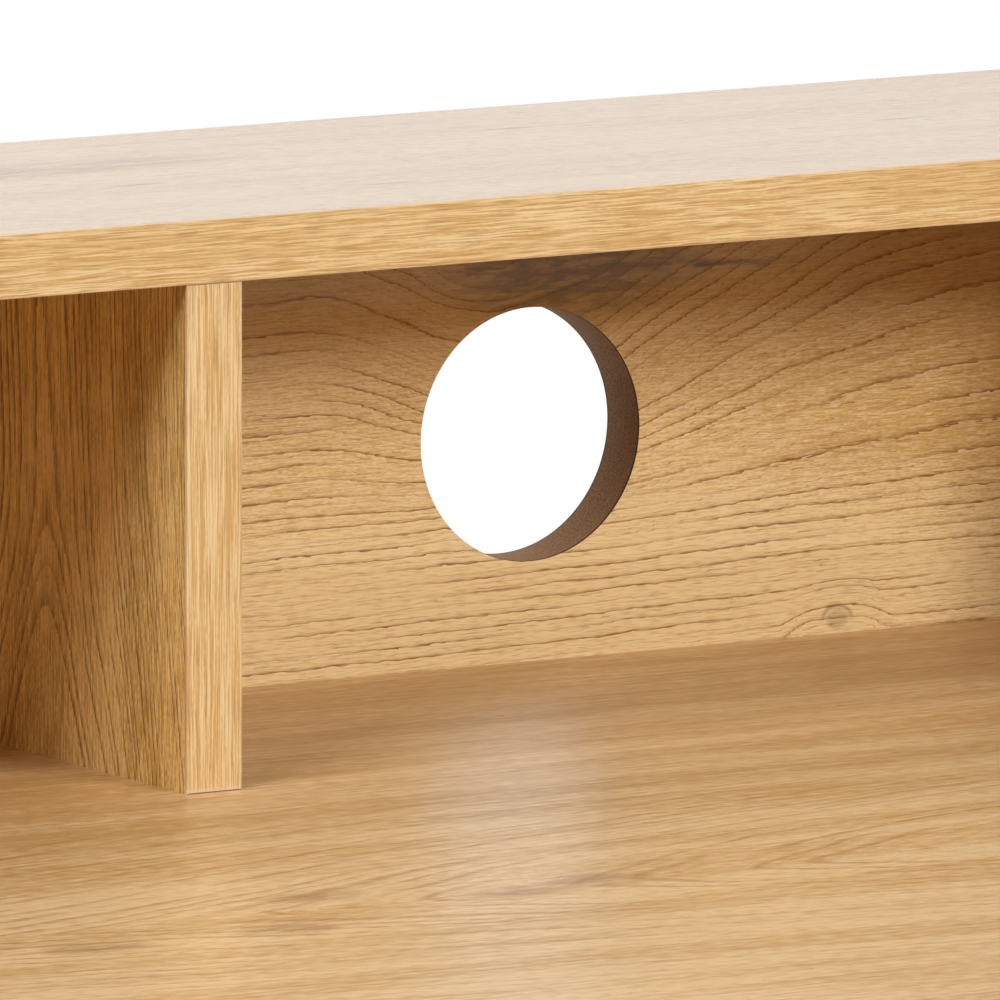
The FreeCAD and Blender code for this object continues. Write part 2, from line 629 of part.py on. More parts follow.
def foot_glide(group, x_place, y_place, panel):
    """A moulded strip with round ends that stands on the floor, and its two pins."""
    name = fitting_name(group)
    straight = "(sizes.GlideLength - sizes.GlideWidth)"
    strip = doc.addObject("Part::Box", name + "_strip")
    strip.setExpression("Length", "sizes.GlideWidth")
    strip.setExpression("Width", straight)
    strip.setExpression("Height", "sizes.GlideHeight")
    strip.setExpression("Placement.Base.x", "-sizes.GlideWidth / 2")
    strip.setExpression("Placement.Base.y", f"-{straight} / 2")
    parts = [strip]
    for side, sign in (("front", "-"), ("rear", "")):
        end = cylinder(f"{name}_{side}_end", "sizes.GlideWidth", "sizes.GlideHeight")
        end.setExpression("Placement.Base.y", f"{sign}{straight} / 2")
        pin_height = "(sizes.GlideHeight + sizes.GlidePinLength)"
        pin = cylinder(f"{name}_{side}_pin", "sizes.GlidePinDiameter", pin_height)
        pin.setExpression("Placement.Base.y", f"{sign}sizes.GlidePinSpread / 2")
        parts += [end, pin]
        bore = "(sizes.GlidePinDiameter + 2 * sizes.FitClearance)"
        start = (x_place, f"({y_place} + ({sign}sizes.GlidePinSpread / 2))", "sizes.GlideHeight")
        panel.bore(start, "+z", bore, "(sizes.GlidePinLength + sizes.EndGap)")
    glide = joined(name, parts)
    put(glide, (x_place, y_place, "0"))
    add_to(group, glide)


for panel, middle in ((side_panel_left, f"({LEFT} + {HALF_BOARD})"),
                      (side_panel_right, f"({RIGHT} - {HALF_BOARD})")):
    for y_place in (f"({FRONT} + sizes.GlideInset)", f"({REAR} - sizes.GlideInset)"):
        foot_glide("foot_glides", middle, y_place, panel)

for board in boards:
    board.drill()

# One node for each board, each board's bands and each group of like fittings

nodes = []
for board in boards:
    board.body.Label = board.name
    nodes.append(board.body)
    if board.bands:
        word = "edge_bands" if len(board.bands) > 1 else "edge_band"
        groups[f"{board.name}_{word}"] = board.bands
for name, items in groups.items():
    group = doc.addObject("Part::Compound", name + "_node")
    group.Label = name
    group.Links = items
    nodes.append(group)
doc.recompute()

# Nothing is written unless every object is sound and every bore has cut its board

for item in doc.Objects:
    if "Invalid" in item.State or "Error" in item.State:
        raise RuntimeError(f"{item.Name} could not be made: {item.State}")
for board in boards:
    volume = board.pad.Shape.Volume
    for feature in board.body.Group:
        if feature.TypeId == "PartDesign::Pocket":
            if not feature.Shape.Volume < volume:
                raise RuntimeError(f"{feature.Name} cuts nothing")
            volume = feature.Shape.Volume
for node in nodes:
    if node.Shape.isNull() or not node.Shape.isValid():
        raise RuntimeError(f"{node.Label} has no valid shape")

os.makedirs("parts", exist_ok=True)
for node in nodes:
    node.Shape.exportStep(f"parts/{node.Label}.step")
    box = node.Shape.BoundBox
    print(f"{node.Label}: {len(node.Shape.Solids)} solids, "
          f"{box.XLength:.1f} x {box.YLength:.1f} x {box.ZLength:.1f} mm")
print(f"{len(nodes)} nodes")
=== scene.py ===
# %% [markdown]
# # A panel desk with a riser
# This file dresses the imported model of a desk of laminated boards. It gives each board
# its oak print, rounds the edge banding, cuts the cable hole finely, and sets the lamps
# and the camera.

import json
import math

import bpy
from mathutils import Matrix, Vector


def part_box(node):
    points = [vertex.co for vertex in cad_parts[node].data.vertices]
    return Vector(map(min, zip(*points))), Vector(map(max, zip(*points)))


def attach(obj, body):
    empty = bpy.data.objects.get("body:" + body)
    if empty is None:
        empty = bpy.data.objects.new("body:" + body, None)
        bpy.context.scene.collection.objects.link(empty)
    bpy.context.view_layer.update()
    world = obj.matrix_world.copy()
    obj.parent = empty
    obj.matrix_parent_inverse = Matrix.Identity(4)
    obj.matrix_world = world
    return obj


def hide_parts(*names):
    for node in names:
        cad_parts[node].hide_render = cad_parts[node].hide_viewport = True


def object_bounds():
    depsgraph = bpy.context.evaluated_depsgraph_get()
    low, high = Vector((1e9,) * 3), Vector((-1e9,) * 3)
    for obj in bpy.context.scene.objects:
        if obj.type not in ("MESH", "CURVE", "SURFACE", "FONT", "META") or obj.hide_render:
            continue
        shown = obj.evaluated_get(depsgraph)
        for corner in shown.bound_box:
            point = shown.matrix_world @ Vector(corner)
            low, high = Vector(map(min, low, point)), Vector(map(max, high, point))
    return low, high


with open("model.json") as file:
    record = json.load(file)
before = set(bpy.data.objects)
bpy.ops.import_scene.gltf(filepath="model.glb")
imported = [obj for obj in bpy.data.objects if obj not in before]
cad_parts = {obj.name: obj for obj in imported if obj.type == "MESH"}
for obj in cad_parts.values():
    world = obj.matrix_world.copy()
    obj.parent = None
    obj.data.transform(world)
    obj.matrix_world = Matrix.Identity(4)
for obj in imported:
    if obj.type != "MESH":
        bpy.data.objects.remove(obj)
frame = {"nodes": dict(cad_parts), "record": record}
cad_low, cad_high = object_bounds()
MM = 0.001
print("nodes", len(frame["nodes"]), "box", cad_low, cad_high)

# %% [markdown]
# ## Measures that come from the frame
# The boards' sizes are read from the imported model, so none is typed twice. The banding
# stands out past a board's core, which tells which sides have a strip.

# %% Read the boards
BOARDS = ("worktop", "side_panel_left", "side_panel_right", "modesty_panel", "riser_back",
          "riser_top", "riser_end_left", "riser_end_right", "divider_left", "divider_right")
BANDED = {name: next(node for node in frame["nodes"] if node.startswith(name + "_edge_band"))
          for name in BOARDS if name != "riser_back"}
AXES = "xyz"
PROUD = 0.1 * MM

core = {name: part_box(name) for name in BOARDS}
back_low, back_high = core["riser_back"]
cable_hole = next(mount for mount in frame["record"]["mounts"] if mount["name"] == "cable_hole")
HOLE_CENTRE = Vector(cable_hole["pos_m"])
HOLE_RADIUS = cable_hole["dims"]["r_mm"] * MM


def strips_of(board):
    """Where a board's strips of banding lie: the side, the low corner and the high corner."""
    low, high = core[board]
    outer_low, outer_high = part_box(BANDED[board])
    found = []
    for index, axis in enumerate(AXES):
        for sign, inner, outer in (("-", low, outer_low), ("+", high, outer_high)):
            past = outer[index] - inner[index]
            if (past if sign == "+" else -past) < PROUD:
                continue
            strip_low, strip_high = low.copy(), high.copy()
            if axis != "x":
                strip_low.x, strip_high.x = outer_low.x, outer_high.x
            strip_low[index] = min(inner[index], outer[index])
            strip_high[index] = max(inner[index], outer[index])
            found.append((sign + axis, strip_low, strip_high))
    return found


for board in BANDED:
    print(board, [side for side, *_ in strips_of(board)])

# %% [markdown]
# ## Hands for the modelling
# An operator acts on what is selected, so each piece starts with everything deselected.
# Edges are then picked in code by where they lie, as one would click them by hand.

# %% Select and add


def start_clean():
    """Leave edit mode and deselect every object."""
    if bpy.context.object and bpy.context.object.mode != "OBJECT":
        bpy.ops.object.mode_set(mode="OBJECT")
    bpy.ops.object.select_all(action="DESELECT")


def take(piece):
    """Select one piece alone and make it the active one."""
    start_clean()
    piece.select_set(True)
    bpy.context.view_layer.objects.active = piece


def named(name):
    """The piece that was just added, with its name, and with its place in its mesh."""
    piece = bpy.context.object
    piece.name = name
    bpy.ops.object.transform_apply(location=True, rotation=True, scale=True)
    return piece


def block(name, low, high):
    """A box between two corners."""
    start_clean()
    bpy.ops.mesh.primitive_cube_add(size=1, location=(low + high) / 2, scale=high - low)
    return named(name)


def round_bar(name, start, end, radius, sides):
    """A closed cylinder between two points that lie along one axis."""
    start_clean()
    run = end - start
    turn = Vector((0, 0, 1)).rotation_difference(run).to_euler()
    bpy.ops.mesh.primitive_cylinder_add(
        vertices=sides, radius=radius, depth=run.length,
        location=(start + end) / 2, rotation=turn)
    return named(name)


print("helpers: take, block, round_bar")

# %% [markdown]
# A hole is made by a Boolean modifier that is applied at once, so every piece ends as a
# plain mesh.

# %% Bevel, cut, join and smooth


def pick_edges(piece, wanted):
    """Select the edges whose two ends pass a test together, and stay in edit mode."""
    take(piece)
    bpy.ops.object.mode_set(mode="EDIT")
    bpy.ops.mesh.select_mode(type="EDGE")
    bpy.ops.mesh.select_all(action="DESELECT")
    bpy.ops.object.mode_set(mode="OBJECT")
    vertices = piece.data.vertices
    for edge in piece.data.edges:
        edge.select = wanted(vertices[edge.vertices[0]].co, vertices[edge.vertices[1]].co)
    bpy.ops.object.mode_set(mode="EDIT")


def bevel_picked(width, segments):
    """Round the picked edges and return to object mode."""
    bpy.ops.mesh.bevel(offset=width, segments=segments, profile=0.5, affect="EDGES")
    bpy.ops.object.mode_set(mode="OBJECT")


def cut(piece, tools):
    """Take the tools' solids out of a piece, then throw the tools away."""
    for tool in tools:
        take(piece)
        modifier = piece.modifiers.new("cut", "BOOLEAN")
        modifier.operation = "DIFFERENCE"
        modifier.solver = "EXACT"
        modifier.object = tool
        bpy.ops.object.modifier_apply(modifier=modifier.name)
        bpy.data.objects.remove(tool)


def join(name, items):
    """Several meshes as one piece."""
    start_clean()
    for item in items:
        item.select_set(True)
    bpy.context.view_layer.objects.active = items[0]
    if len(items) > 1:
        bpy.ops.object.join()
    piece = bpy.context.object
    piece.name = name
    return piece


def smooth(piece, degrees):
    """Shade smoothly over edges that turn less than an angle."""
    take(piece)
    bpy.ops.object.shade_smooth_by_angle(angle=math.radians(degrees))


print("helpers: pick_edges, bevel_picked, cut, join, smooth")

# %% [markdown]
# ## The edge banding
# A strip of banding is glued to each open edge of a board, and its long outer corners
# are milled round. Each strip is a box with those corners bevelled in five steps. Its
# short ends get a hair of a bevel, for the thin dark seam where two boards meet.

# %% Model the banding
BAND_ROUNDING, BAND_STEPS = 0.9 * MM, 5
BAND_END_BREAK, BAND_SMOOTHING = 0.2 * MM, 40
NEAR = 0.01 * MM


def long_axis(low, high):
    """The axis that a box is longest along, as 0, 1 or 2."""
    return max(range(3), key=lambda i: high[i] - low[i])


def band_strip(side, low, high):
    """One strip, rounded along its two outer long edges."""
    strip = block("strip", low, high)
    index = AXES.index(side[1])
    outer = high[index] if side[0] == "+" else low[index]
    run = long_axis(low, high)

    def on_outer_face(a, b):
        return abs(a[index] - outer) < NEAR and abs(b[index] - outer) < NEAR

    def along_the_strip(a, b):
        return abs(a[run] - b[run]) > NEAR

    pick_edges(strip, lambda a, b: on_outer_face(a, b) and not along_the_strip(a, b))
    bevel_picked(BAND_END_BREAK, 1)
    pick_edges(strip, lambda a, b: on_outer_face(a, b) and along_the_strip(a, b))
    bevel_picked(BAND_ROUNDING, BAND_STEPS)
    return strip


band_pieces = {}
for board, node in BANDED.items():
    strips = [band_strip(*strip) for strip in strips_of(board)]
    piece = join(node + "_rounded", strips)
    smooth(piece, BAND_SMOOTHING)
    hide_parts(node)
    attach(piece, "root")
    band_pieces[board] = piece
    print(piece.name, len(strips), "strips", len(piece.data.polygons), "faces")

# %% [markdown]
# ## The fittings in the frame
# Hidden bolts draw the boards together, and a cast disc in a round bore grips each bolt's
# head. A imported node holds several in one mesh, so a copy is taken apart in edit mode,
# its loose parts are measured, and it is thrown away.

# %% Find the separate solids of a node
WELD = 0.001 * MM


def solids_of(node):
    """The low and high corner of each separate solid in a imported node."""
    piece = frame["nodes"][node].copy()
    piece.data = piece.data.copy()
    bpy.context.scene.collection.objects.link(piece)
    take(piece)
    bpy.ops.object.mode_set(mode="EDIT")
    bpy.ops.mesh.select_all(action="SELECT")
    bpy.ops.mesh.remove_doubles(threshold=WELD)
    bpy.ops.mesh.separate(type="LOOSE")
    bpy.ops.object.mode_set(mode="OBJECT")
    corners = []
    for part in list(bpy.context.selected_objects):
        places = [vertex.co for vertex in part.data.vertices]
        corners.append([Vector([outermost(place[i] for place in places) for i in range(3)])
                        for outermost in (min, max)])
        bpy.data.objects.remove(part)
    return sorted(corners, key=lambda pair: tuple(pair[0]))


families = ("side_panel", "modesty_panel", "riser_base", "riser_top", "riser_back")
discs = {family: solids_of(family + "_cam_discs") for family in families}
bolts = {family: solids_of(family + "_cam_bolts") for family in families}
dowels = {family: solids_of(family + "_dowels") for family in families}
screws = solids_of("divider_screws")
glides = solids_of("foot_glides")
for family in families:
    print(family, len(discs[family]), "discs", len(bolts[family]), "bolts",
          len(dowels[family]), "dowels")
print(len(screws), "screws", len(glides), "glides")

# %% [markdown]
# ## Turned pieces
# A screw, a pin or a disc is round about one axis. Its form comes from a filled circle
# that is extruded upwards step by step, and scaled each time to the next radius of its
# outline.

# %% Turn an outline


def turned(name, outline, sides):
    """A round piece along Z from pairs of radius and height in millimetres."""
    start_clean()
    radius, height = outline[0]
    bpy.ops.mesh.primitive_circle_add(
        vertices=sides, radius=radius * MM, fill_type="NGON", location=(0, 0, height * MM))
    piece = named(name)
    bpy.ops.object.mode_set(mode="EDIT")
    bpy.ops.mesh.select_mode(type="FACE")
    bpy.ops.mesh.select_all(action="SELECT")
    for next_radius, next_height in outline[1:]:
        bpy.ops.mesh.extrude_region_move(
            TRANSFORM_OT_translate={"value": (0, 0, (next_height - height) * MM)})
        share = next_radius / radius
        bpy.ops.transform.resize(value=(share, share, 1), center_override=(0, 0, 0))
        radius, height = next_radius, next_height
    bpy.ops.mesh.select_all(action="SELECT")
    bpy.ops.mesh.normals_make_consistent(inside=False)
    bpy.ops.object.mode_set(mode="OBJECT")
    return piece


def placed(pattern, axis_x, axis_z, place):
    """A copy of a piece, turned to two axes and moved, with its place in its mesh."""
    start_clean()
    copy = pattern.copy()
    copy.data = pattern.data.copy()
    bpy.context.scene.collection.objects.link(copy)
    axes = Matrix((axis_x, axis_z.cross(axis_x), axis_z)).transposed()
    copy.data.transform(Matrix.Translation(place) @ axes.to_4x4())
    return copy


print("helpers: turned, placed")

# %% [markdown]
# ## Cam discs
# The disc is cast zinc with a softly broken rim and a cross slot for a screwdriver. It is
# turned once, the slot and the bolt's passage are cut, and it is copied to each place. It
# faces the side of its board that it was put in from, and its passage follows its bolt.

# %% Model one cam disc and copy it
DISC_RADIUS, DISC_THICKNESS, DISC_RECESS = 7.4, 12.2, 0.3
DISC_BREAK, DISC_SOFTENING, DISC_SIDES = 0.5, 0.15, 72
RING_WIDTH, DISH_WIDTH, DISH_DEPTH = 1.5, 1.8, 0.25
SLOT_LENGTH, SLOT_WIDTH, SLOT_DEPTH = 8.0, 1.4, 2.4
PASS_RADIUS, PASS_SIDES, PASS_REACH, HALF_BOARD = 3.8, 32, 1.2, 7.5
ROUND_SMOOTHING = 35
AXIS = (Vector((1, 0, 0)), Vector((0, 1, 0)), Vector((0, 0, 1)))

disc = turned("disc", [(DISC_RADIUS - DISC_BREAK, -DISC_THICKNESS),
                       (DISC_RADIUS, DISC_BREAK - DISC_THICKNESS),
                       (DISC_RADIUS, -DISC_BREAK),
                       (DISC_RADIUS - DISC_SOFTENING, -DISC_SOFTENING),
                       (DISC_RADIUS - DISC_BREAK, 0),
                       (DISC_RADIUS - RING_WIDTH, 0),
                       (DISC_RADIUS - DISH_WIDTH, -DISH_DEPTH)], DISC_SIDES)
half_slot = Vector((SLOT_LENGTH, SLOT_WIDTH, 2 * SLOT_DEPTH)) * MM / 2
half_cross = Vector((half_slot.y, half_slot.x, half_slot.z))
pass_height = -(HALF_BOARD - DISC_RECESS) * MM
pass_end = Vector((DISC_RADIUS * PASS_REACH * MM, 0, pass_height))
pass_start = Vector((0, 0, pass_height))
cut(disc, [block("slot", -half_slot, half_slot), block("cross", -half_cross, half_cross),
           round_bar("passage", pass_start, pass_end, PASS_RADIUS * MM, PASS_SIDES)])


def holds(low, high, point):
    """Whether a point lies in a box or on it."""
    return all(low[i] - NEAR <= point[i] <= high[i] + NEAR for i in range(3))


def board_round(point):
    """The board whose core holds a point."""
    for board, (low, high) in core.items():
        if holds(low, high, point):
            return board
    return None


def facing_of(low, high):
    """The axis through a disc's board, towards the side that the disc shows on."""
    board_low, board_high = core[board_round((low + high) / 2)]
    through = min(range(3), key=lambda i: board_high[i] - board_low[i])
    sign = 1 if board_high[through] - high[through] < low[through] - board_low[through] else -1
    return AXIS[through] * sign, (high if sign == 1 else low)[through], through


for family in families:
    copies = []
    for low, high in discs[family]:
        middle = (low + high) / 2
        way, face, through = facing_of(low, high)
        place = middle.copy()
        place[through] = face
        bolt = min(bolts[family], key=lambda pair: ((pair[0] + pair[1]) / 2 - middle).length)
        reach = (bolt[0] + bolt[1]) / 2 - middle
        reach[through] = 0
        copies.append(placed(disc, reach.normalized(), way, place))
    piece = join(family + "_cast_discs", copies)
    smooth(piece, ROUND_SMOOTHING)
    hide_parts(family + "_cam_discs")
    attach(piece, "root")
    print(piece.name, len(copies), "discs", len(piece.data.polygons), "faces")
bpy.data.objects.remove(disc)

# %% [markdown]
# ## Screws
# Four countersunk screws hold the dividers from behind, each with a six-sided socket. One
# outline runs down the head, along the plain neck and then in and out round each turn of
# the thread. Rings stand for the helix, which nobody sees in the wood.

# %% Model the screws
SCREW_HEAD, SCREW_BODY, SCREW_THREAD = 5.0, 3.4, 2.4
HEAD_HEIGHT, BODY_END, SCREW_END = 4.4, 15.0, 50.0
SOCKET_RADIUS, SOCKET_DEPTH = 2.2, 3.0
PITCH, THREAD_DEPTH, FLANK, ROOT_END = 1.75, 0.55, 0.6, 1.2
TIP_RADIUS, TIP_LENGTH, SCREW_SIDES, SOCKET_SIDES = 0.4, 1.5, 32, 6
HEAD_BREAK, HEAD_EDGE, NECK_STEP, FIRST_TURN = 0.15, 0.25, 0.1, 0.4

outline = [(SCREW_HEAD - HEAD_BREAK, 0), (SCREW_HEAD, -HEAD_EDGE),
           (SCREW_BODY, -HEAD_HEIGHT), (SCREW_BODY, -BODY_END),
           (SCREW_THREAD, -BODY_END - NECK_STEP)]
root = SCREW_THREAD - THREAD_DEPTH
turn_height = -BODY_END - FIRST_TURN
while turn_height > 1.5 * PITCH - SCREW_END:
    outline += [(SCREW_THREAD, turn_height), (root, turn_height - FLANK),
                (root, turn_height - ROOT_END)]
    turn_height -= PITCH
outline += [(root, TIP_LENGTH - SCREW_END), (TIP_RADIUS, -SCREW_END)]
screw = turned("screw", outline[::-1], SCREW_SIDES)
socket = turned("socket", [(SOCKET_RADIUS, -SOCKET_DEPTH), (SOCKET_RADIUS, 1)], SOCKET_SIDES)
cut(screw, [socket])
heads = []
for low, high in screws:
    middle = (low + high) / 2
    heads.append(Vector((middle.x, high.y, middle.z)))
copies = [placed(screw, AXIS[0], AXIS[1], head) for head in heads]
bpy.data.objects.remove(screw)
divider_screws = join("divider_socket_screws", copies)
smooth(divider_screws, ROUND_SMOOTHING)
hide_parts("divider_screws")
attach(divider_screws, "root")
print(divider_screws.name, len(copies), "screws", len(divider_screws.data.polygons), "faces")

# %% [markdown]
# ## Glides
# The glides under the side panels are flat plastic pads with round ends. A disc is
# turned with a bevel where it meets the floor, and one half of it is pulled out each
# way. Two pins hold each pad in the panel.

# %% Model the glides
GLIDE_HALF_WIDTH, GLIDE_HEIGHT, GLIDE_BREAK = 6.5, 4.0, 0.9
GLIDE_PULL, GLIDE_SIDES = 23.5, 48
PIN_RADIUS, PIN_LENGTH, PIN_OFF, PIN_BREAK, PIN_SIDES = 2.4, 10.0, 16.0, 0.8, 24
ARC_STEP = 0.27 * GLIDE_BREAK

glide = turned("glide", [(GLIDE_HALF_WIDTH - GLIDE_BREAK, 0),
                         (GLIDE_HALF_WIDTH - ARC_STEP, ARC_STEP),
                         (GLIDE_HALF_WIDTH, GLIDE_BREAK),
                         (GLIDE_HALF_WIDTH, GLIDE_HEIGHT)], GLIDE_SIDES)
for way in (1, -1):
    take(glide)
    for item in [*glide.data.polygons, *glide.data.edges]:
        item.select = False
    for vertex in glide.data.vertices:
        vertex.select = vertex.co.y * way > NEAR
    bpy.ops.object.mode_set(mode="EDIT")
    bpy.ops.mesh.select_mode(type="VERT")
    bpy.ops.transform.translate(value=(0, way * GLIDE_PULL * MM, 0))
    bpy.ops.object.mode_set(mode="OBJECT")
pin = turned("pin", [(PIN_RADIUS, GLIDE_HEIGHT),
                     (PIN_RADIUS, GLIDE_HEIGHT + PIN_LENGTH - PIN_BREAK),
                     (PIN_RADIUS - PIN_BREAK, GLIDE_HEIGHT + PIN_LENGTH)], PIN_SIDES)
pins = [placed(pin, AXIS[0], AXIS[2], Vector((0, way * PIN_OFF * MM, 0)))
        for way in (1, -1)]
bpy.data.objects.remove(pin)
glide = join("glide", [glide] + pins)
copies = []
for low, high in glides:
    middle = (low + high) / 2
    copies.append(placed(glide, AXIS[0], AXIS[2], Vector((middle.x, middle.y, low.z))))
bpy.data.objects.remove(glide)
floor_glides = join("floor_glides", copies)
smooth(floor_glides, ROUND_SMOOTHING)
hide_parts("foot_glides")
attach(floor_glides, "root")
print(floor_glides.name, len(copies), "glides", len(floor_glides.data.polygons), "faces")

# %% [markdown]
# ## The riser's back with its cable hole
# The back is one board, drilled through in the middle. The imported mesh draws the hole
# with few corners, so the board is cut again here from a box with a fine cylinder, and
# its rim is broken by a tiny bevel, as a hole saw leaves it.

# %% Cut the riser's back
HOLE_SIDES, RIM_BREAK, RIM_STEPS = 160, 0.25 * MM, 2
PAST, SHORT = 2 * MM, 2 * MM

riser_back = block("riser_back_drilled", back_low, back_high)
hole_start = Vector((HOLE_CENTRE.x, back_low.y - PAST, HOLE_CENTRE.z))
hole_end = Vector((HOLE_CENTRE.x, back_high.y + PAST, HOLE_CENTRE.z))
cut(riser_back, [round_bar("hole_tool", hole_start, hole_end, HOLE_RADIUS, HOLE_SIDES)])


def on_rim(point):
    """Whether a corner lies on the hole's circle, on one of the two faces."""
    away = math.hypot(point.x - HOLE_CENTRE.x, point.z - HOLE_CENTRE.z)
    on_face = min(abs(point.y - back_low.y), abs(point.y - back_high.y)) < NEAR
    return on_face and abs(away - HOLE_RADIUS) < NEAR


def rim_edge(a, b):
    """Whether two corners are neighbours on one rim."""
    return on_rim(a) and on_rim(b) and abs(a.y - b.y) < NEAR and (a - b).length < SHORT


pick_edges(riser_back, rim_edge)
bevel_picked(RIM_BREAK, RIM_STEPS)
print("cable hole", HOLE_SIDES, "sides, the back has", len(riser_back.data.polygons), "faces")

# %% [markdown]
# The bores for the discs, bolts, dowels and screws follow the fittings themselves, a hair
# wider.

# %% Drill the riser's back
DISC_BORE, DISC_BORE_SIDES, SINK_SIDES, BORE_SIDES = 7.5 * MM, 64, 48, 32
CLEARANCE, END_GAP, SINK_GAP = 0.1 * MM, 0.5 * MM, 0.1
BACK_SMOOTHING = 30


def in_back(low, high):
    """Whether a fitting's box reaches into the back."""
    return all(low[i] < back_high[i] - NEAR and high[i] > back_low[i] + NEAR for i in range(3))


tools = []
for family in families:
    for low, high in discs[family]:
        if in_back(low, high):
            middle = (low + high) / 2
            start = Vector((middle.x, low.y - END_GAP, middle.z))
            end = Vector((middle.x, back_high.y + PAST, middle.z))
            tools.append(round_bar("disc_bore", start, end, DISC_BORE, DISC_BORE_SIDES))
    for low, high in bolts[family] + dowels[family]:
        if in_back(low, high):
            run = long_axis(low, high)
            middle = (low + high) / 2
            start, end = middle.copy(), middle.copy()
            start[run], end[run] = low[run] - END_GAP, high[run] + END_GAP
            radius = (high - low)[(run + 1) % 3] / 2 + CLEARANCE
            tools.append(round_bar("bore", start, end, radius, BORE_SIDES))
sink = turned("sink", [(SCREW_BODY + SINK_GAP, -BODY_END - 1),
                       (SCREW_BODY + SINK_GAP, -HEAD_HEIGHT),
                       (SCREW_HEAD + SINK_GAP, 0), (SCREW_HEAD + SINK_GAP, 1)], SINK_SIDES)
tools += [placed(sink, AXIS[0], AXIS[1], head) for head in heads]
bpy.data.objects.remove(sink)
cut(riser_back, tools)
smooth(riser_back, BACK_SMOOTHING)
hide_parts("riser_back")
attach(riser_back, "root")
print("riser back", len(tools), "bores", len(riser_back.data.polygons), "faces")

# %% [markdown]
# ## Values that can be written as sums
# A shader is made of nodes, and a long sum of Math nodes is hard to read. This class
# wraps one socket, so that `1 - mask * 0.5` adds the Math nodes by itself. The numbers of
# a ramp are where it starts and ends, and its values there.

# %% The value class


class Value:
    """A number that changes over a surface."""

    def __init__(self, finish, socket):
        self.finish = finish
        self.socket = socket

    def math(self, operation, *terms):
        return self.finish.add("Math", {"operation": operation}, dict(enumerate(terms)))

    def __add__(self, other):
        return self.math("ADD", self, other)

    __radd__ = __add__

    def __mul__(self, other):
        return self.math("MULTIPLY", self, other)

    __rmul__ = __mul__

    def __sub__(self, other):
        return self.math("SUBTRACT", self, other)

    def __rsub__(self, other):
        return self.math("SUBTRACT", other, self)

    def __truediv__(self, other):
        return self.math("DIVIDE", self, other)

    def __abs__(self):
        return self.math("ABSOLUTE", self)

    def __gt__(self, other):
        return self.math("GREATER_THAN", self, other)

    def fraction(self):
        return self.math("FRACT", self)

    def root(self):
        return self.math("SQRT", self)

    def arctangent(self):
        return self.math("ARCTANGENT", self)

    def at_most(self, other):
        return self.math("MINIMUM", self, other)

    def at_least(self, other):
        return self.math("MAXIMUM", self, other)

    def ramp(self, start, end, low=0.0, high=1.0):
        """A soft step from one value to another between two places."""
        return self.finish.add(
            "MapRange", {"interpolation_type": "SMOOTHSTEP"},
            {"Value": self, "From Min": start, "From Max": end, "To Min": low, "To Max": high})


print("helper: Value")

# %% [markdown]
# ## One way to add any node
# A finish starts with nothing but the place of the point, in millimetres. `node` adds any
# node from its type, its settings and its sockets. Noise is made in two dimensions, along
# and across the grain, which is all that a flat board needs and renders faster.

# %% The finish class
LACQUER_IOR = 1.5


class Finish:
    """A material or a world, and the nodes that are added to it."""

    def __init__(self, block):
        self.block = block
        block.use_nodes = True
        self.tree = block.node_tree
        self.tree.nodes.clear()
        place = self.add("TexCoord", {}, {}, "Object")
        self.x, self.y, self.z = [part * 1000 for part in self.parts(place)]

    def node(self, kind, settings, sockets):
        """Any node: its type, its settings, then the values or links of its sockets."""
        node = self.tree.nodes.new("ShaderNode" + kind)
        for key, value in settings.items():
            setattr(node, key, value)
        for key, value in sockets.items():
            if isinstance(value, Value):
                self.tree.links.new(value.socket, node.inputs[key])
            else:
                node.inputs[key].default_value = value
        return node

    def add(self, kind, settings, sockets, output=0):
        """A node of which one output is wanted."""
        return Value(self, self.node(kind, settings, sockets).outputs[output])

    def vector(self, x, y, z=0.0):
        return self.add("CombineXYZ", {}, {"X": x, "Y": y, "Z": z})

    def parts(self, vector):
        """The three parts of a vector."""
        outputs = self.node("SeparateXYZ", {}, {"Vector": vector}).outputs
        return [Value(self, output) for output in outputs]

    def facing(self):
        """How squarely the surface faces along X, along Y and along Z."""
        return [abs(part) for part in self.parts(self.add("NewGeometry", {}, {}, "Normal"))]

    def noise(self, place, long, wide, seed, detail=0.0, dimensions="2D"):
        """Noise from 0 to 1 whose cells are so long and so wide, in millimetres."""
        scaled = self.add(
            "VectorMath", {"operation": "MULTIPLY_ADD"},
            {0: place, 1: (1 / long, 1 / wide, 1 / wide), 2: (seed * 7.31, seed * 3.17, seed)})
        return self.add("TexNoise", {"noise_dimensions": dimensions},
                        {"Vector": scaled, "Scale": 1.0, "Detail": detail}, "Fac")

    def mix(self, share, first, second):
        """One colour over another by a share."""
        return self.add("Mix", {"data_type": "RGBA"}, {0: share, 6: first, 7: second}, 2)

    def surface(self, colour, roughness, relief, **fixed):
        """The shader. The relief is in millimetres; what never varies is in `fixed`."""
        normal = self.add("Bump", {}, {"Strength": 1.0, "Distance": MM, "Height": relief})
        shader = self.add("BsdfPrincipled", {}, {
            "Base Color": colour, "Roughness": roughness, "Normal": normal,
            "IOR": LACQUER_IOR, **fixed})
        self.node("OutputMaterial", {}, {"Surface": shader})
        return self.block


def wear(piece, *materials):
    """Give a piece its materials in its own slots."""
    piece.data.materials.clear()
    for material in materials:
        piece.data.materials.append(material)


print("helpers: Finish, wear")

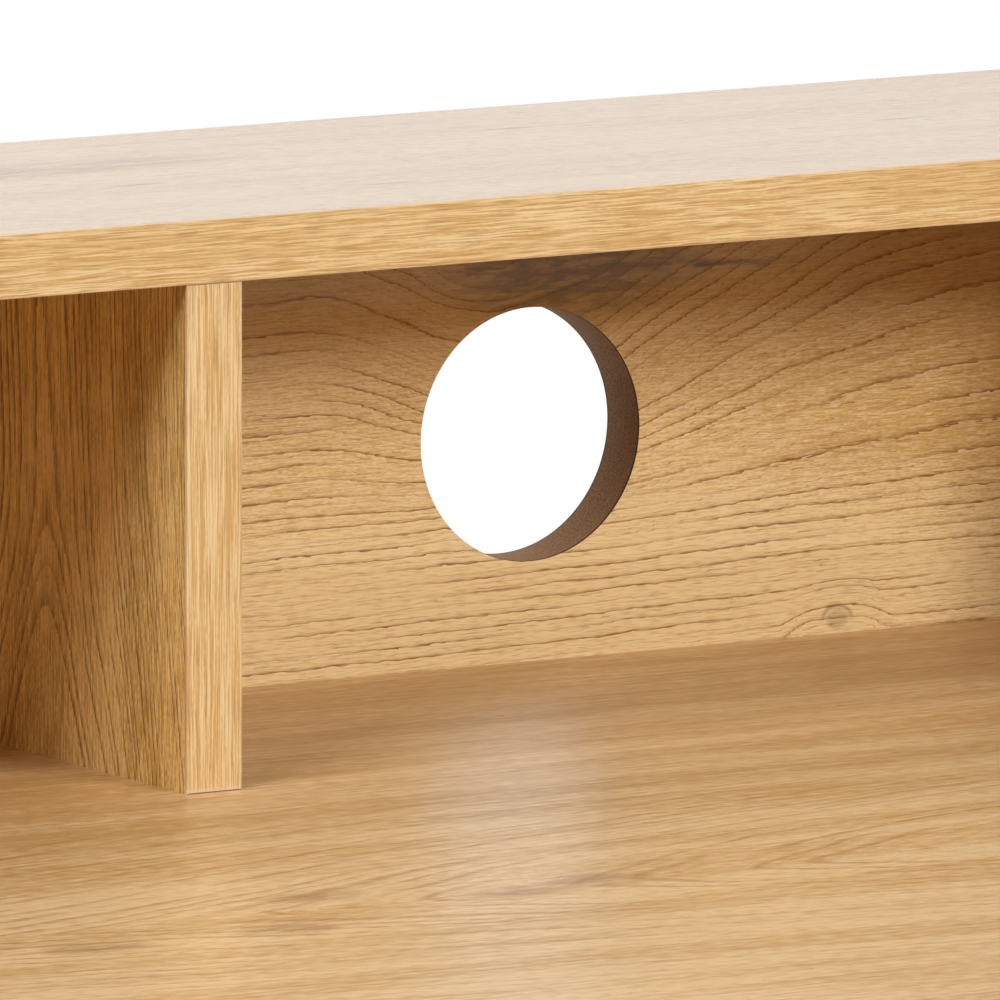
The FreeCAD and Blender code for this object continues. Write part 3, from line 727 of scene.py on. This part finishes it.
# %% [markdown]
# ## The growth lines of oak
# Growth lines are rows of pores, so a line that climbs does so in small level steps. Here
# they are the contour lines of one field, a number for each point, which is the distance
# across the grain. Bending that field makes arches, knots and cathedrals, and adding
# noise that is long along the grain and narrow across it makes the small steps.
#
# A line is sharp on one side and fades on the other, or soft on both. Fainter lines lie
# between, and each line has a strength of its own. A pale lip along its sharp side is a
# painted highlight, where the light catches the embossed edge.
# Noise keeps mostly between 0.3 and 0.7, so the ramps on it start and end near there.

# %% The growth lines
STEP_CELL, WOBBLE_CELL, WAVE_CELL = (3.2, 0.55), (12, 5), (34, 9)
CROWDING_CELL, STRENGTH_CELL = (17, 17), (65, 0.37)
ROW_CELL, BREAK_CELL = (7, 0.6), (22, 1.4)
LINES_BETWEEN = 2.7


def growth_lines(finish, place, along, field, spacing, thickness, sway, dash, soft, seed):
    """Thin contour lines of a field, each with a strength of its own, and pale lips of painted
    highlight.
    """
    steps = (finish.noise(place, *STEP_CELL, seed + 1) - 0.5) * 0.7
    wobble = (finish.noise(place, *WOBBLE_CELL, seed + 8) - 0.5) * 0.6
    waves = (finish.noise(place, *WAVE_CELL, seed + 2, 1) - 0.5) * sway
    bent = field + steps + wobble + waves
    crowding = finish.noise(finish.vector(bent, bent), *CROWDING_CELL, seed + 3) * 0.7
    phase = bent / spacing + crowding
    step = phase.fraction()
    of_line = finish.noise(finish.vector(along, phase - step), *STRENGTH_CELL, seed + 4)
    strength = of_line.ramp(0.34, 0.58, 0.18, 1)
    rows = finish.noise(place, *ROW_CELL, seed + 9).ramp(0.32, 0.58, dash, 1.0)
    edge = abs(step - 0.5) if soft else step
    line = edge.ramp(0.0, thickness / spacing, 1.0, 0.0) * strength * rows
    shade = step.ramp(0.0, 0.5, 0.24, 0.0) * strength
    broken = finish.noise(place, *BREAK_CELL, seed + 10).ramp(0.46, 0.62, 0.0, 0.55)
    between = (phase * LINES_BETWEEN).fraction().ramp(0.0, 0.22, 1.0, 0.0) * broken
    # The lip: a painted highlight along each line's sharp side.
    lip = step.ramp(0.84, 1.0) * strength * rows
    return line.at_least(shade).at_least(between), lip


print("a growth line climbs in steps of", STEP_CELL[1], "mm")

# %% [markdown]
# ## The oak print
# The boards are fibreboard with a printed oak face. Pale and tan fibres run along the
# grain, with short dark pores, pale flecks and a fine grit between them, over broad
# patches of paler and browner wood. The growth lines come on top, with pale lips that are
# a painted highlight. `tone` makes part of a board browner; on the riser's back and the
# worktop it also paints light and shade. A veil of painted shade dulls the top of the
# riser's back, and `marks` adds smudges and knots. Where the board is bored or sawn, its
# raw fibre shows, darkest at the rim.

# %% The whole print
OAK_PALE = (0.83, 0.605, 0.33, 1)
OAK_TAN = (0.62, 0.405, 0.17, 1)
OAK_LINE = (0.275, 0.095, 0.002, 1)
OAK_PORE = (0.4, 0.21, 0.04, 1)
OAK_SMOKE = (0.145, 0.098, 0.07, 1)
# The pale of the flecks, and of the painted highlight on the growth lines' lips.
OAK_FLECK_AND_HIGHLIGHT = (0.98, 0.82, 0.58, 1)
OAK_SMUDGE = (0.36, 0.2, 0.09, 1)
# Painted shade: the dull grey of the veil at the top of the riser's back.
OAK_PAINTED_SHADE = (0.385, 0.31, 0.215, 1)
RAW_BROWN = (0.37, 0.212, 0.102, 1)
RAW_DARK = (0.22, 0.12, 0.058, 1)
RIM_DARK = (0.04, 0.025, 0.018, 1)
SPECK_CELL, RAW_CELL = (4.0, 0.36), (0.5, 0.5)
PORE_EDGES, FLECK_EDGES = (0.56, 0.72), (0.26, 0.44)
RIM_START, RIM_END = 0.3, 1.0
RAW_SHEEN, FLAT = 0.8, 0.9


def oak_print(name, axes, figure, spacing=4.1, thickness=1.0, sway=1.8, dash=0.7,
              soft=False, line_depth=0.95, pore_depth=0.22, fibre=(15, 0.55), fibre_depth=1.6,
              patch=(190, 17), patch_depth=0.5, grit=(1.4, 0.3), lip_depth=0.35,
              pale=OAK_PALE, tan=OAK_TAN, mark=OAK_SMOKE, satin=0.3, seed=0.0,
              calm=None, tone=None, veil=None, marks=None):
    """A printed face on two of a board's axes, and raw fibreboard where it is bored."""
    finish = Finish(bpy.data.materials.new("oak_" + name))
    along, across, through = [getattr(finish, axis) for axis in axes]
    place = finish.vector(along, across)
    field = figure(finish, place, along, across)
    lines, lip_highlights = growth_lines(finish, place, along, field, spacing, thickness, sway, dash,
                               soft, seed)
    if calm:
        middle, near, far, rest = calm
        lines = lines * abs(across - middle).ramp(near, far, 1.0, rest)
    specks = finish.noise(place, *SPECK_CELL, seed + 5)
    pores = specks.ramp(*PORE_EDGES)
    flecks = specks.ramp(*FLECK_EDGES, 1.0, 0.0)
    fibres = finish.noise(place, *fibre, seed + 6, 2)
    grains = finish.noise(place, *grit, seed + 11)
    broad = finish.noise(place, *patch, seed + 7).ramp(0.3, 0.7, 0.0, patch_depth)
    # A browner tone; on the riser's back and the worktop it also paints light and shade.
    if tone:
        broad = broad + tone(finish, place, along, across)
    share = broad + (fibres - 0.45) * fibre_depth + (grains - 0.5) * 0.9
    colour = finish.mix(share, pale, tan)
    colour = finish.mix(pores * pore_depth, colour, OAK_PORE)
    # Pale flecks, and the lips, which are a painted highlight.
    colour = finish.mix((flecks * 0.8).at_least(lip_highlights) * lip_depth, colour, OAK_FLECK_AND_HIGHLIGHT)
    # Painted shade: a duller, greyer veil where a board lies in shade.
    if veil:
        colour = finish.mix(veil(finish, place, along, across), colour, OAK_PAINTED_SHADE)
    colour = finish.mix(lines * line_depth, colour, OAK_LINE)
    if marks:
        colour = finish.mix(marks(finish, place, along, across), colour, mark)
    index = AXES.index(axes[2])
    on_face = finish.facing()[index] > FLAT
    inside = finish.vector(finish.x, finish.y, finish.z)
    speckle = finish.noise(inside, *RAW_CELL, seed, 2, "3D")
    raw = finish.mix(speckle.ramp(0.35, 0.65), RAW_DARK, RAW_BROWN)
    low, high = [corner[index] * 1000 for corner in core[name]]
    depth = abs(through - low).at_most(abs(through - high))
    raw = finish.mix(depth.ramp(RIM_START, RIM_END), RIM_DARK, raw)
    colour = finish.mix(on_face, raw, colour)
    roughness = RAW_SHEEN - on_face * (RAW_SHEEN - satin) + (fibres - 0.5) * 0.12
    relief = (fibres - 0.5) * 0.04 - pores * 0.015 - lines * 0.04
    return finish.surface(colour, roughness, relief)


print("raw fibre shows on faces turned over", round(math.degrees(math.acos(FLAT))), "degrees")

# %% [markdown]
# ## Figures
# A figure is the field of one board. A quarter-sawn board has nearly straight lines. A
# board cut along the side of a log has a cathedral: nested arches round an axis, whose
# arms draw together and straighten further out.

# %% Figures that any board can have
WANDER_CELL, DRIFT_CELL, RIPPLE_CELL = (420, 120), (260, 90), (40, 15)
ARCH_LENGTH = 190


def mound(along, across, at_along, at_across, reach_along, reach_across):
    """A smooth bump of height one on the board, and nothing past its reach."""
    a = (along - at_along) / reach_along
    b = (across - at_across) / reach_across
    return (a * a + b * b).ramp(0.0, 1.0, 1.0, 0.0)


def straight(bend, seed):
    """Nearly straight grain with a slow wander."""
    def figure(finish, place, along, across):
        return across + (finish.noise(place, *WANDER_CELL, seed) - 0.5) * bend
    return figure


def cathedral(axis, tip, lean, tightening, seed, arms=60, ripple=0.0):
    """Nested arches round an axis; the arms tighten further out."""
    def figure(finish, place, along, across):
        drift = (finish.noise(place, *DRIFT_CELL, seed) - 0.5) * 24
        off = across - axis + drift
        reach = (off * off + 12).root()
        near = reach.at_most(arms)
        spread = near * (near / tightening + 1) + (reach - near) * (1 + 2 * arms / tightening)
        fade = reach.ramp(arms, 2 * arms, 1.0, 0.0)
        travel = ((along - tip) / ARCH_LENGTH).arctangent() * (ARCH_LENGTH * lean)
        ripples = (finish.noise(place, *RIPPLE_CELL, seed + 1) - 0.5) * ripple
        return spread - travel * fade + ripples
    return figure


print("figures: straight, cathedral")

# %% [markdown]
# The riser's back has the most lively figure, and it is seen close up. The lines dip to
# the left edge of the cable hole, and fan out upwards to the right of it. Below, they run
# level, and arch over a small knot. A smoky patch of reaction wood with a dark streak
# lies above the hole. All places are in millimetres along and up the board.

# %% The figure of the riser's back
KNOT_ALONG, KNOT_ACROSS = 89.0, 753.5


def back_figure(finish, place, along, across):
    """Lines that dip to the hole, fan out beyond it, and arch over the knot."""
    dip = along.ramp(-64, -6, 0.0, 17.0) * across.ramp(784, 818) * along.ramp(-28, 78, 1.0, 0.0)
    beyond = (along - 20).at_least(0).at_most(160)
    climb = (beyond - beyond * beyond / 340) * across.ramp(766, 825, 0.03, 0.29)
    steeper = along.ramp(50, 105, 0.0, 9.0) * across.ramp(818, 850)
    over_knot = mound(along, across, KNOT_ALONG, KNOT_ACROSS, 17, 13) * 5.0
    curl = mound(along, across, -12, 845, 24, 8) * 3.5
    drift = (finish.noise(place, 300, 60, 2.5) - 0.5) * 8
    closer = (across - 790).at_most(0) * 0.3
    return across + closer + dip - climb - steeper - over_knot + curl + drift


def back_tone_and_painted_light(finish, place, along, across):
    """A browner print to the right; painted light near the worktop, painted shade higher up."""
    warmer = along.ramp(20, 140, 0.0, 0.6) * across.ramp(760, 805, 0.8, 1.0)
    return warmer - across.ramp(758, 806, 0.75, -0.13)


def back_veil(finish, place, along, across):
    """Painted shade: duller and greyer towards the top, under the riser's top."""
    return across.ramp(812, 866, 0.0, 0.6)


def back_marks(finish, place, along, across):
    """The smoky patch and its streak, and the knot's ring and heart."""
    uneven = finish.noise(place, 9, 2.2, 61, 2)
    haze = mound(along, across, 12, 848, 46, 19) * uneven.ramp(0.28, 0.62, 0.4, 0.8)
    off_streak = abs(across + along * 0.053 - 847.5 + (uneven - 0.5) * 2.2)
    thin = uneven.ramp(0.3, 0.6, 0.55, 1.0)
    streak = off_streak.ramp(0.2, 1.5, 0.85, 0.0) * thin
    streak = streak * along.ramp(-12, -4) * along.ramp(50, 84, 1, 0)
    a = (along - KNOT_ALONG) / 4.2
    b = (across - KNOT_ACROSS) / 3.4
    out = (a * a + b * b).root()
    ring = abs(out - 1).ramp(0.0, 0.25, 0.45, 0.0) * b.ramp(-0.3, 0.5)
    heart = out.ramp(0.4, 1.0, 0.3, 0.0)
    return haze.at_least(streak).at_least(ring).at_least(heart)


print("the back's knot is at", KNOT_ALONG, KNOT_ACROSS, "mm")

# %% [markdown]
# The worktop has one wide cathedral, whose arches point to the left. Where an arch turns,
# the print has a soft brown smudge. Towards the riser, and most of all on the left, the
# worktop is browner: painted shade from the riser's top and the left divider.

# %% The figure of the worktop
TIPS = ((-224, 15), (-251, -20), (-301, -19), (-180, -3), (-158, 4))


def worktop_painted_shade(finish, place, along, across):
    """Painted shade: browner towards the riser, most of all on the left by the divider."""
    return across.ramp(40, 150) * along.ramp(-225, -150, 0.54, 0.28)


def worktop_marks(finish, place, along, across):
    """A soft smudge at each tip."""
    uneven = finish.noise(place, 14, 2.4, 67, 2).ramp(0.3, 0.6, 0.15, 0.7)
    tips = [mound(along, across, *tip, 17, 9) for tip in TIPS]
    smudge = tips[0]
    for tip in tips[1:]:
        smudge = smudge.at_least(tip)
    return smudge * uneven


print("worktop smudges", len(TIPS))

# %% [markdown]
# The riser's top is nearly straight-grained. It has one long darker shade at the left,
# and a few short dark flaws where a pore was torn.

# %% The shade and the flaws of the riser's top
FLAWS = ((-152, 216), (-99, 188), (-20, 262), (70, 230))


def top_marks(finish, place, along, across):
    """The long shade and the short flaws."""
    uneven = finish.noise(place, 26, 4, 69, 2).ramp(0.3, 0.6, 0.3, 0.75)
    shade = mound(along, across, -160, 252, 75, 14) * uneven
    for flaw in FLAWS:
        shade = shade.at_least(mound(along, across, *flaw, 9, 1.6) * 0.8)
    return shade


print("riser top flaws", len(FLAWS))

# %% [markdown]
# The left divider's cathedral opens downwards: its arches are narrow at the middle of the
# board and spread out to the worktop. Near their axis the lines are fainter.

# %% The figure of the left divider
ARCH_AXIS = 219


def divider_figure(finish, place, along, across):
    """Nested arches that open downwards."""
    drift = (finish.noise(place, 70, 24, 8.5) - 0.5) * 7
    off = across - ARCH_AXIS + drift
    reach = (off * off + 6).root()
    below = 806 - along
    opening = (below + (below * below + 150).root()) * 0.3
    return reach * (reach / 60 + 1) - opening


print("the divider's arches stand", ARCH_AXIS, "mm behind the desk's middle")

# %% [markdown]
# ## The boards get their finish
# Each board has its own print, turned the way its grain runs: lengthwise on the level
# boards, the back and the modesty panel, upright on the others. The letters are the axis
# along the grain, the axis across it, and the one through the board.

# %% Finish the boards
WIDE_FIGURE = {"spacing": 9.0, "thickness": 1.4, "patch": (520, 48), "patch_depth": 0.4}


def dress(name, axes, figure, **style):
    """Make a board's print and put it on the board."""
    piece = riser_back if name == "riser_back" else frame["nodes"][name]
    wear(piece, oak_print(name, axes, figure, **style))
    print(name, "has its grain along", axes[0])


# The riser's back carries painted light and shade in its tone, and painted shade in its veil.
dress("riser_back", "xzy", back_figure, thickness=0.95, sway=1.4, fibre_depth=1.35,
      patch_depth=0.2, pale=(0.9, 0.665, 0.332, 1), tan=(0.605, 0.366, 0.112, 1),
      seed=3.0, tone=back_tone_and_painted_light, veil=back_veil, marks=back_marks)
# The worktop's tone is painted shade towards the riser.
dress("worktop", "xyz", cathedral(0, -104, 0.55, 120, 5.5, 75, 4), spacing=8.5,
      thickness=2.3, sway=2.6, dash=0.35, soft=True, line_depth=0.6, fibre=(40, 2.2),
      fibre_depth=1.35, grit=(5.0, 2.0), lip_depth=0.0, pale=(0.836, 0.586, 0.318, 1),
      tan=(0.6, 0.35, 0.132, 1), mark=OAK_SMUDGE, seed=9.0, calm=(15, 35, 100, 0.6),
      tone=worktop_painted_shade, marks=worktop_marks)
dress("riser_top", "xyz", straight(30, 6.5), line_depth=0.22, fibre=(60, 2.2),
      fibre_depth=1.0, patch_depth=0.45, grit=(6.0, 2.4), lip_depth=0.0,
      pale=(0.7, 0.5, 0.305, 1), tan=(0.58, 0.385, 0.205, 1), mark=OAK_SMUDGE,
      satin=0.15, seed=14.0, marks=top_marks)
dress("divider_left", "zyx", divider_figure, spacing=4.4, thickness=2.9, sway=2.0,
      dash=0.35, line_depth=1.0, fibre_depth=2.6, pale=(0.98, 0.7, 0.29, 1),
      tan=(0.5, 0.285, 0.05, 1), seed=18.0, calm=(ARCH_AXIS, 13, 0, 0.75))
dress("divider_right", "zyx", straight(20, 7.5), seed=22.0)
dress("riser_end_left", "zyx", straight(24, 9.5), seed=26.0)
dress("riser_end_right", "zyx", straight(24, 10.5), seed=30.0)
dress("side_panel_left", "zyx", cathedral(-30, 420, 0.3, 70, 11.5), seed=34.0, **WIDE_FIGURE)
dress("side_panel_right", "zyx", cathedral(50, 300, 0.3, 70, 12.5), seed=38.0, **WIDE_FIGURE)
dress("modesty_panel", "xzy", cathedral(560, 60, 0.3, 70, 13.5), seed=42.0, **WIDE_FIGURE)

# %% [markdown]
# ## The banding's finish
# The banding is a finer print than the faces: pale and brown hairs along the strip, with
# no growth lines. The milled arris is plainer and a little pink, and its pale is also a
# painted highlight where the rounding catches the light. Glue darkens the seam at each
# end, and the dividers' banding is scuffed at its foot. Strips run along X, Y or Z, so
# there is one finish for each way, and each strip wears its own. The upright strips have
# no browner patches, so they are paler: painted light on the fronts of the dividers.

# %% Finish the banding
BAND_PALE = (0.845, 0.63, 0.34, 1)
BAND_TAN = (0.64, 0.39, 0.148, 1)
BAND_BROWN = (0.41, 0.2, 0.058, 1)
# Pale pink of the milled arris, which is also a painted highlight on the rounding.
BAND_ARRIS_AND_HIGHLIGHT = (0.79, 0.57, 0.43, 1)
BAND_SCUFF = (0.56, 0.45, 0.35, 1)
BAND_SEAM = (0.2, 0.11, 0.045, 1)
BAND_SHEEN = 0.38
SWAY_CELL, SHIVER_CELL, BAND_PATCH = (40, 8), (7, 3), (110, 3.2)
GRIT_CELL, SCUFF_CELL = (1.8, 0.32), (3, 1.1)
HAIR_WIDTH, DASH_WIDTH = 0.55, 0.3
FOOT_START = core["divider_left"][0].z * 1000
SCUFF_FULL, SCUFF_END = 9, 16


def band_print(name, axes, hair_length, patch_depth, seed):
    """Short hairs along a strip, a plainer arris with painted highlight, a dark seam at each
    end.
    """
    finish = Finish(bpy.data.materials.new(name))
    along, one_way, other_way = [getattr(finish, axis) for axis in axes]
    across = one_way + other_way
    place = finish.vector(along, across)
    sway = (finish.noise(place, *SWAY_CELL, seed + 1) - 0.5) * 0.8
    shiver = (finish.noise(place, *SHIVER_CELL, seed + 7) - 0.5) * 0.3
    lanes = finish.vector(along, across + sway + shiver)
    hairs = finish.noise(lanes, hair_length, HAIR_WIDTH, seed + 2, 2)
    dashes = finish.noise(lanes, hair_length / 3, DASH_WIDTH, seed + 3)
    grit = finish.noise(lanes, *GRIT_CELL, seed + 6)
    broad = finish.noise(lanes, *BAND_PATCH, seed + 4)
    colour = finish.mix((hairs + (grit - 0.5) * 0.16).ramp(0.34, 0.62), BAND_TAN, BAND_PALE)
    colour = finish.mix(broad.ramp(0.35, 0.7, 0.0, patch_depth), colour, BAND_TAN)
    colour = finish.mix(dashes.ramp(0.52, 0.74, 0.0, 0.5), colour, BAND_BROWN)
    facing = finish.facing()
    flattest = facing[0].at_least(facing[1]).at_least(facing[2])
    # The arris is plainer and a little pink, and is also a painted highlight on the rounding.
    arris_and_highlight = flattest.ramp(0.86, 0.995, 0.75, 0.0)
    colour = finish.mix(arris_and_highlight, colour, BAND_ARRIS_AND_HIGHLIGHT)
    near_foot = finish.z.ramp(FOOT_START + SCUFF_FULL, FOOT_START + SCUFF_END, 1.0, 0.0)
    near_foot = near_foot * (finish.z > FOOT_START)
    scuffed = finish.noise(place, *SCUFF_CELL, seed + 5, 2).ramp(0.4, 0.62, 0.0, 0.8)
    colour = finish.mix(near_foot * scuffed * arris_and_highlight, colour, BAND_SCUFF)
    sole = finish.z.ramp(FOOT_START + 0.7, FOOT_START + 1.3, 0.6, 0.0) * near_foot
    colour = finish.mix(sole, colour, BAND_ARRIS_AND_HIGHLIGHT)
    end_seam = facing[AXES.index(axes[0])].ramp(0.3, 0.6) * (1 - (flattest > 0.95))
    colour = finish.mix(end_seam * 0.85, colour, BAND_SEAM)
    relief = (hairs - 0.5) * 0.03 + (grit - 0.5) * 0.015
    return finish.surface(colour, BAND_SHEEN + (hairs - 0.5) * 0.1, relief)


band_finish = {
    "x": band_print("band_along_x", "xyz", 26, 0.4, 51.0),
    "y": band_print("band_along_y", "yxz", 26, 0.3, 57.0),
    # No browner patches on the upright strips: paler, as painted light on the dividers' fronts.
    "z": band_print("band_along_z", "zxy", 42, 0.0, 63.0),
}


def way_of(board, point):
    """The axis that the strip round a point runs along."""
    for _, low, high in strips_of(board):
        if holds(low, high, point):
            return long_axis(low, high)
    return 0


for board, piece in band_pieces.items():
    wear(piece, *band_finish.values())
    for polygon in piece.data.polygons:
        polygon.material_index = way_of(board, polygon.center)
print("banding finished", len(band_pieces))

# %% [markdown]
# ## Metal, beech and plastic
# The fittings are small, but they show from behind and below. Cast zinc is dull and
# mottled, the screws and bolts are bright plated steel, the dowels are pale beech with
# short rays, and the glides are moulded plastic with a fine grain.

# %% Finish the fittings


def fitting_finish(name, light, dark, cell, rough, relief_depth, metallic, stretch=1.0):
    """Two tones that are mottled or streaked, with a fine relief."""
    finish = Finish(bpy.data.materials.new(name))
    place = finish.vector(finish.x, finish.y, finish.z)
    tone = finish.noise(place, cell * stretch, cell, 71, 3, "3D")
    grain = finish.noise(place, cell * stretch / 4, cell / 4, 73, 1, "3D")
    colour = finish.mix(tone.ramp(0.35, 0.65), dark, light)
    return finish.surface(colour, rough + (grain - 0.5) * 0.2,
                          (grain - 0.5) * relief_depth, Metallic=metallic)


zinc = fitting_finish("cast_zinc", (0.56, 0.57, 0.58, 1), (0.4, 0.41, 0.42, 1),
                      1.6, 0.45, 0.03, 1.0)
steel = fitting_finish("plated_steel", (0.72, 0.71, 0.68, 1), (0.58, 0.57, 0.55, 1),
                       0.5, 0.28, 0.01, 1.0, 4.0)
beech = fitting_finish("beech", (0.62, 0.43, 0.26, 1), (0.45, 0.28, 0.15, 1),
                       0.6, 0.6, 0.03, 0.0, 5.0)
plastic = fitting_finish("glide_plastic", (0.05, 0.047, 0.045, 1), (0.038, 0.036, 0.034, 1),
                         0.8, 0.5, 0.04, 0.0)
for family in families:
    wear(bpy.data.objects[family + "_cast_discs"], zinc)
    wear(frame["nodes"][family + "_cam_bolts"], steel)
    wear(frame["nodes"][family + "_dowels"], beech)
wear(divider_screws, steel)
wear(floor_glides, plastic)
print("fittings finished")

# %% [markdown]
# ## Floor and world
# The photograph has a plain white ground. The floor is a pale plane that turns white
# further out, so the desk's shadow stays on the floor near it. The world is white only
# where it is seen or mirrored, and adds no light of its own.

# %% Floor and world
FLOOR_REACH = 30
WHITE_START, WHITE_FULL = 1.4, 3.2
FLOOR_PALE, WHITE = (0.8, 0.79, 0.77, 1), (1, 1, 1, 1)


def seen_or_mirrored(finish):
    """One where the camera sees a surface directly, in a mirror or through glass."""
    camera, glossy, clear = [finish.add("LightPath", {}, {}, f"Is {ray} Ray")
                             for ray in ("Camera", "Glossy", "Transmission")]
    return camera.at_least(glossy).at_least(clear)


start_clean()
bpy.ops.mesh.primitive_plane_add(size=2 * FLOOR_REACH, location=(0, 0, cad_low.z))
floor = bpy.context.object
floor.name = "floor"
ground = Finish(bpy.data.materials.new("floor_pale"))
away = (ground.x * ground.x + ground.y * ground.y).root() / 1000
matt = ground.add("BsdfDiffuse", {}, {"Color": FLOOR_PALE})
white = ground.add("Emission", {}, {"Color": WHITE, "Strength": 1.0})
share = seen_or_mirrored(ground) * away.ramp(WHITE_START, WHITE_FULL)
both = ground.add("MixShader", {}, {0: share, 1: matt, 2: white})
ground.node("OutputMaterial", {}, {"Surface": both})
wear(floor, ground.block)

sky = Finish(bpy.data.worlds.new("studio_white"))
bpy.context.scene.world = sky.block
plain = sky.add("Background", {}, {"Color": WHITE, "Strength": seen_or_mirrored(sky)})
sky.node("OutputWorld", {}, {"Surface": plain})
print("floor and world white from", WHITE_FULL, "m out")

# %% [markdown]
# ## Lamps
# The shadows in the photograph are soft, so all lamps are area lamps. The main light comes
# low from the front and throws the riser's shade on its own back. A second one stands
# high on the left, and two weaker ones lift the far edges and the desk's rear.

# %% Lamps
RISER_AIM, REAR_AIM = (0, 0.2, 0.8), (0, 0.2, 0.7)


def soft_lamp(name, place, aim, width, height, power):
    """A large area lamp that points at a place."""
    lamp = bpy.data.lights.new(name, "AREA")
    lamp.shape = "RECTANGLE"
    lamp.size, lamp.size_y, lamp.energy = width, height, power
    holder = bpy.data.objects.new(name, lamp)
    bpy.context.scene.collection.objects.link(holder)
    holder.location = place
    holder.rotation_euler = (Vector(aim) - Vector(place)).to_track_quat("-Z", "Y").to_euler()
    holder.visible_glossy = False
    print(name, power, "W at", place)


soft_lamp("key_lamp", (0.63, -2.53, 1.88), RISER_AIM, 0.9, 0.6, 58)
soft_lamp("left_lamp", (-1.92, -0.61, 2.96), RISER_AIM, 1.2, 0.9, 54)
soft_lamp("rear_lamp", (0.0, 1.6, 3.0), RISER_AIM, 2.4, 1.6, 29)
soft_lamp("back_fill", (0.4, 3.0, 1.2), REAR_AIM, 1.6, 1.2, 22)

# %% [markdown]
# ## Camera
# The photograph is a close view from the front left. Its place, angles in radians and
# lens were solved from the outlines of the boards and the hole.

# %% Camera
LENS_MM, FILM_MM = 672.4, 36
CAMERA_TURN, CAMERA_DIP, CAMERA_ROLL = 0.5514, 0.1455, 0.0025
CAMERA_PLACE = Vector((-2.36854, -3.55191, 1.45052))

camera = bpy.data.cameras.new("camera")
camera.lens = LENS_MM
camera.sensor_width = FILM_MM
camera.clip_end = 200
viewer = bpy.data.objects.new("camera", camera)
bpy.context.scene.collection.objects.link(viewer)
viewer.matrix_world = (Matrix.Translation(CAMERA_PLACE)
                       @ Matrix.Rotation(-CAMERA_TURN, 4, "Z")
                       @ Matrix.Rotation(math.pi / 2 - CAMERA_DIP, 4, "X")
                       @ Matrix.Rotation(CAMERA_ROLL, 4, "Z"))
bpy.context.scene.camera = viewer
bpy.context.scene.view_settings.view_transform = "Standard"
print("camera", round((CAMERA_PLACE - HOLE_CENTRE).length, 2), "m from the cable hole")
